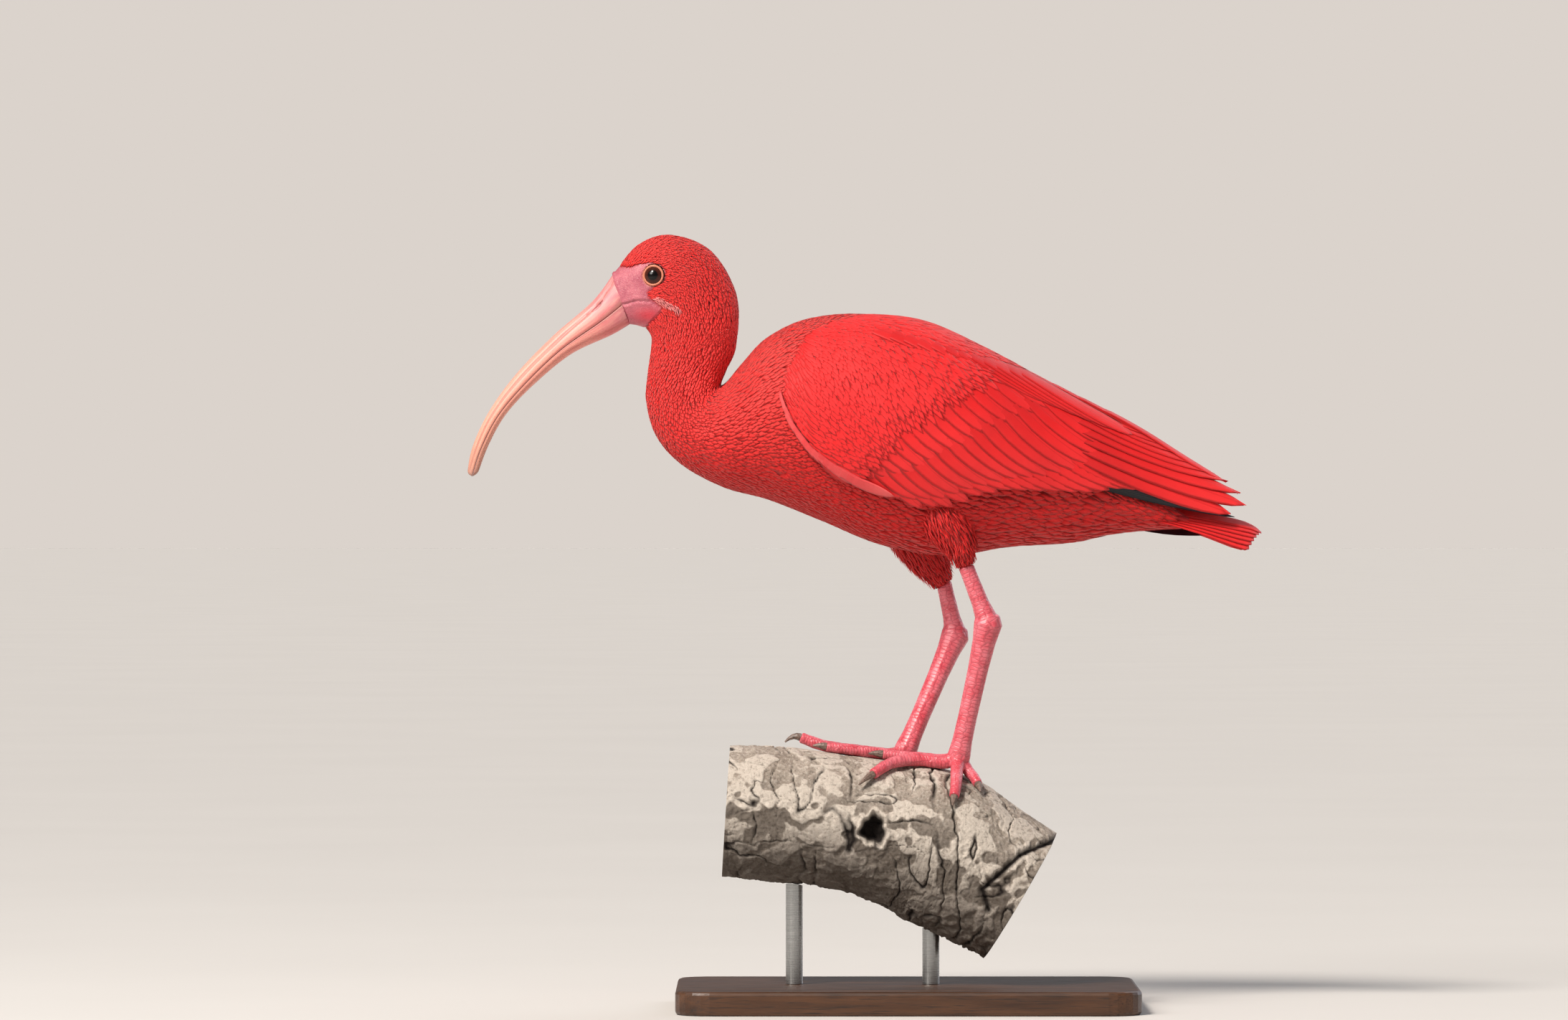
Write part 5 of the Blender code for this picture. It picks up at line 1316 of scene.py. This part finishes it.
def bill():
    upper, lower = bill_piece(True), bill_piece(False)
    slits = []
    rows = smooth_rows([(*culmen, *mouth, half) for culmen, mouth, _, half in BILL], 400)
    for side in SIDES.values():
        slot = []
        for x, z in line_at(NOSTRIL, np.linspace(0, 1, 9)):
            run = rows[:, :2] - rows[:, 2:4]
            f = ((x - rows[:, 2]) * run[:, 0] + (z - rows[:, 3]) * run[:, 1]) / (run ** 2).sum(1)
            miss = np.hypot(rows[:, 2] + run[:, 0] * f - x, rows[:, 3] + run[:, 1] * f - z)
            best = miss.argmin()
            slot.append((x, side * rows[best, 4] * math.sqrt(max(0.0, 1 - f[best] ** 2)), z))
        slits.append(rod("nostril", slot, np.array([0.3, 0.7, 0.85, 0.9, 0.95, 0.9, 0.8, 0.6, 0.3]), 12))
    combine(upper, slits, "DIFFERENCE")
    upper.data.set_sharp_from_angle(angle=math.radians(45))
    piece(upper, "bill", "bill_upper", material=horn)
    piece(lower, "bill", "bill_lower", material=horn)


def spine_frames(points):
    """For a line of points: the way along it, and two directions across it that don't twist."""
    points = np.asarray(points, float)
    along = unit(np.gradient(points, axis=0))
    first = unit(np.cross(along[0], (0.0, 1.0, 0.0) if abs(along[0][1]) < 0.8 else (1.0, 0.0, 0.0)))
    over = [first]
    for way in along[1:]:
        turned = over[-1] - way * (over[-1] @ way)
        over.append(unit(turned))
    over = np.stack(over)
    return along, over, np.cross(along, over)


def rod(name, points, radii, sides=24, flatten=1.0):
    """A closed rod of changing thickness along a line of points."""
    points = np.asarray(points, float)
    _, over, across = spine_frames(points)
    a = np.linspace(0, 2 * math.pi, sides + 1)[:-1]
    radii = np.asarray(radii, float)[:, None, None]
    rings = points[:, None] + radii * (np.cos(a)[None, :, None] * over[:, None] * flatten
                                       + np.sin(a)[None, :, None] * across[:, None])
    return lofted(name, rings)


bill()


# Legs

def bare_leg(name):
    """The shank, tarsus and toes as one skin over the solids' shape, with scutes and joints."""
    nodes = [f"shank_{name}", f"tarsus_{name}"] + [f"toe_{name}_{toe}" for toe in TOE_NAMES]
    copies = []
    for node_name in nodes:
        copy = bpy.data.objects.new("copy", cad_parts[node_name].data.copy())
        bpy.context.scene.collection.objects.link(copy)
        copies.append(copy)
    made = joined(f"leg_skin_{name}", copies)
    # Grown a little so that the solids' gaps close and the skin is one.
    form = bmesh.new()
    form.from_mesh(made.data)
    form.normal_update()
    for corner in form.verts:
        corner.co += corner.normal * 0.25 * MM
    form.to_mesh(made.data)
    form.free()
    remeshed(made, 0.6, 14)
    return made, nodes


def leg_marks(made, name):
    """Where each point of the leg lies along and round its own bone, for the scutes."""
    points = coordinates(made.data)
    heel, joint = np.array(HEELS[name]), np.array(FOOT_JOINTS[name])
    top = np.array(THIGHS[name][-1][:3])
    lines = [(top, heel), (heel, joint)]
    for toe in TOE_NAMES:
        corners = coordinates(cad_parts[f"toe_{name}_{toe}"].data)
        far = corners[np.linalg.norm(corners - joint, axis=1).argmax()]
        lines.append((joint, far))
    best = np.full(len(points), 1e9)
    spots = np.zeros((len(points), 2))
    for i, (a, b) in enumerate(lines):
        run = b - a
        size = np.linalg.norm(run)
        f = np.clip((points - a) @ run / size ** 2, 0, 1)
        off = points - a - f[:, None] * run
        miss = np.linalg.norm(off, axis=1) + (0 if i < 2 else 0.5)
        front = unit(np.cross(run / size, (0.0, 1.0, 0.0)))
        over = np.cross(run / size, front)
        angle = np.arctan2(off @ over, off @ front)
        near = miss < best
        wide = 2.2 if i < 2 else 1.7
        spots[near] = np.stack([f * size / wide, angle * (1.1 if i < 2 else 0.8)], -1)[near]
        best = np.minimum(best, miss)
    uv_map(made.data, "Scutes", spots)


def legs():
    for name in SIDES:
        made, nodes = bare_leg(name)
        leg_marks(made, name)
        made.data.shade_smooth()
        piece(made, "leg_skin", *nodes, material=leg_skin)
        for toe in TOE_NAMES:
            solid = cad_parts[f"claw_{name}_{toe}"]
            solid.data.materials.clear()
            solid.data.materials.append(claw_horn)


legs()


# Limb and stand

SHIFT = Vector((7.3, 3.1, 5.7))


def limb():
    """The cut limb: fine rings with plates of bark, cracks between them, a knot hole and a long dark scar."""
    around, stations = 420, 330
    rows = smooth_rows(LIMB, stations)
    ahead = unit(np.gradient(rows[:, :2], axis=0))
    angle = np.linspace(0, 2 * math.pi, around + 1)[:-1]
    t = np.linspace(0, len(LIMB) - 1, stations)[:, None]
    swell = 0.9 * np.sin(3 * angle + 1.1 * t) + 0.7 * np.sin(5 * angle - 1.7 * t)
    wave = swell * 0.5 * np.sqrt(np.clip(1 - np.cos(angle), 0, 2))
    run = np.concatenate([[0], np.cumsum(np.linalg.norm(np.diff(rows[:, :2], axis=0), axis=1))])
    middle = np.stack([rows[:, 0], 0 * rows[:, 0], rows[:, 1]], -1)
    up = np.stack([-ahead[:, 1], 0 * rows[:, 0], ahead[:, 0]], -1)
    out = up[:, None] * np.cos(angle)[None, :, None] - np.array((0.0, 1.0, 0.0)) * np.sin(angle)[None, :, None]
    radius = rows[:, 2][:, None] + wave
    flat = middle[:, None] + out * radius[..., None]

    relief = np.zeros(flat.shape[:2])
    crack = np.zeros(flat.shape[:2])
    flake = np.zeros(flat.shape[:2])
    for i in range(stations):
        for k in range(around):
            p = Vector(flat[i, k]) * 0.001
            q = p + noise.noise_vector(p * 60) * 0.004 + noise.noise_vector(p * 260) * 0.0012
            # Cracks meander round the limb and along it, and come and go.
            round_it = abs(noise.noise(Vector((q.x * 75, q.y * 22, q.z * 22))))
            along_it = abs(noise.noise(Vector((q.x * 24, q.y * 85, q.z * 85)) + SHIFT))
            comes = noise.noise(q * 38) + 0.25
            crack[i, k] = max(0.0, 1 - round_it / 0.07) * min(max(comes * 2.5, 0.0), 1.0)
            crack[i, k] = max(crack[i, k], max(0.0, 1 - along_it / 0.06) * min(max(0.6 - comes * 2.0, 0.0), 1.0))
            # Layers of bark end in ragged steps.
            layer = noise.noise(q * 62 + SHIFT) * 1.7 + noise.noise(q * 170) * 0.9
            flake[i, k] = min(max((layer + 0.15) * 4.0, 0.0), 1.0)
            fine = abs(noise.noise(Vector((q.x * 330, q.y * 150, q.z * 150))))
            rough = noise.fractal(q * 240, 0.8, 2.1, 4)
            relief[i, k] = (-1.5 * crack[i, k] ** 0.7 + 0.75 * flake[i, k] - 0.35 * max(0.0, 1 - fine / 0.12)
                            + 0.75 * rough + 0.9 * noise.noise(q * 24) - 0.4)
    ends = np.minimum(run, run[-1] - run)[:, None]
    relief *= np.clip(ends / 3, 0.3, 1)
    spot = flat[..., [0, 2]]
    near_side = flat[..., 1] < 0
    over_x, over_z = (spot[..., 0] - KNOT["x"]) / 6.6, (spot[..., 1] - KNOT["z"]) / 8.0
    way = np.arctan2(over_z, over_x)
    hole = np.hypot(over_x, over_z) * (1 + 0.12 * np.sin(3 * way + 1) + 0.07 * np.sin(7 * way))
    in_hole = np.clip(1.25 - hole, 0, 1) * near_side
    rim = np.exp(-((hole - 1.25) / 0.25) ** 2) * near_side
    flake = np.maximum(flake, rim)
    relief += 1.9 * rim * (0.7 + 0.3 * np.sin(11 * way)) - KNOT["depth"] * np.clip(in_hole * 2.2, 0, 1)
    scar_line = [(89.0, 101.3), (66.0, 92.0), (43.0, 71.0), (46.6, 59.0)]
    scar = np.clip(1 - distance_to(spot, scar_line) / 3.0, 0, 1) * near_side
    relief -= 2.6 * scar
    # The dark mark takes the cracks and the scar, and painted shade inside the knot hole.
    crack = np.clip(np.maximum(np.maximum(crack * 0.9, scar), np.clip(in_hole * 2.5, 0, 1)), 0, 1)
    # Nothing rises over the solid where the feet stand.
    top = np.cos(angle)[None] > 0.3
    relief = np.where(top, np.minimum(relief, 0.0), relief)
    rings = flat + out * (relief - 0.2)[..., None]
    made = link("limb_bark", mesh_of("limb_bark", rings.reshape(-1, 3), loft_faces(stations, around)))
    outward(made)
    made.data.shade_smooth()
    # Painted shade: darker towards the underside, also darker where the pale flakes are missing, less on the knot's
    # rim.
    under = np.clip(0.25 - 1.6 * np.cos(angle + 0.25)[None] + 0.9 * (0.5 - flake), 0, 1) * (1 - 0.8 * rim)
    point_colour(made.data, "Bark", np.stack([crack, flake, under], -1).reshape(-1, 3))
    disc = np.zeros((stations, around, 2))
    disc[..., 0], disc[..., 1] = radius * np.cos(angle) * MM, radius * np.sin(angle) * MM
    uv_map(made.data, "Disc", disc.reshape(-1, 2))
    piece(made, "bark", "perch", material=bark)
    made.data.materials.append(sawn)
    for face in made.data.polygons:
        if len(face.vertices) > 4:
            face.material_index = 1
            face.use_smooth = False


limb()


def dress(node_name, finish):
    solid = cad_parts[node_name]
    solid.data.materials.clear()
    solid.data.materials.append(finish)


dress("stand_base", hardwood)
for name in ("front", "rear"):
    dress(f"stand_rod_{name}", brushed)


# The stage

floor_paint, tree, bsdf = material("pale_floor", {"Roughness": 0.85, "Specular IOR Level": 0.2})
tree.links.new(mix(tree, object_noise(tree, 3.0, 4.0), "CFCCC8", "D5D2CE"), bsdf.inputs["Base Color"])
bpy.ops.mesh.primitive_plane_add(size=120.0, location=(0.0, 0.0, 0.0))
floor = bpy.context.object
floor.name = "floor"
floor.data.materials.append(floor_paint)

world = bpy.data.worlds.new("studio")
bpy.context.scene.world = world
world.use_nodes = True
tree = world.node_tree
glow = tree.nodes["Background"]
glow.inputs["Color"].default_value = linear("EDEFF2")
glow.inputs["Strength"].default_value = 0.28
backdrop = node(tree, "Background", None, {"Color": "DBD3CC", "Strength": 1.0})
seen = node(tree, "LightPath").outputs["Is Camera Ray"]
both = node(tree, "MixShader", None, {0: seen, 1: glow.outputs[0], 2: backdrop.outputs[0]})
tree.links.new(both.outputs[0], tree.nodes["World Output"].inputs["Surface"])


def lamp(name, kind, energy, place, aim, size, colour):
    """A lamp at a place in metres, turned to its aim."""
    light = bpy.data.lights.new(name, kind)
    light.energy = energy
    light.color = linear(colour)[:3]
    if kind == "SUN":
        light.angle = math.radians(size)
    else:
        light.shape = "DISK"
        light.size = size
    made = bpy.data.objects.new(name, light)
    bpy.context.scene.collection.objects.link(made)
    made.location = place
    made.rotation_euler = (Vector(aim) - Vector(place)).to_track_quat("-Z", "Y").to_euler()


lamp("key", "SUN", 3.3, (-1.6, -2.2, 3.2), (0.0, 0.0, 0.3), 14.0, "FFF6EC")
lamp("side_box", "AREA", 30.0, (-1.5, -1.5, 1.5), (-0.05, 0.0, 0.3), 1.1, "FFFAF4")

lamp("fill", "SUN", 0.9, (2.0, 2.4, 1.8), (0.0, 0.0, 0.3), 50.0, "F2F4FF")

camera = bpy.data.cameras.new("camera")
camera.sensor_width = 36.0
camera.lens = 36.0 * 5.0 / 0.91854
camera.clip_end = 200.0
viewer = bpy.data.objects.new("camera", camera)
bpy.context.scene.collection.objects.link(viewer)
viewer.location = (-0.07203, -5.0, 0.2916)
viewer.rotation_euler = (math.radians(90), 0.0, 0.0)
bpy.context.scene.camera = viewer
bpy.context.scene.view_settings.view_transform = "Standard"
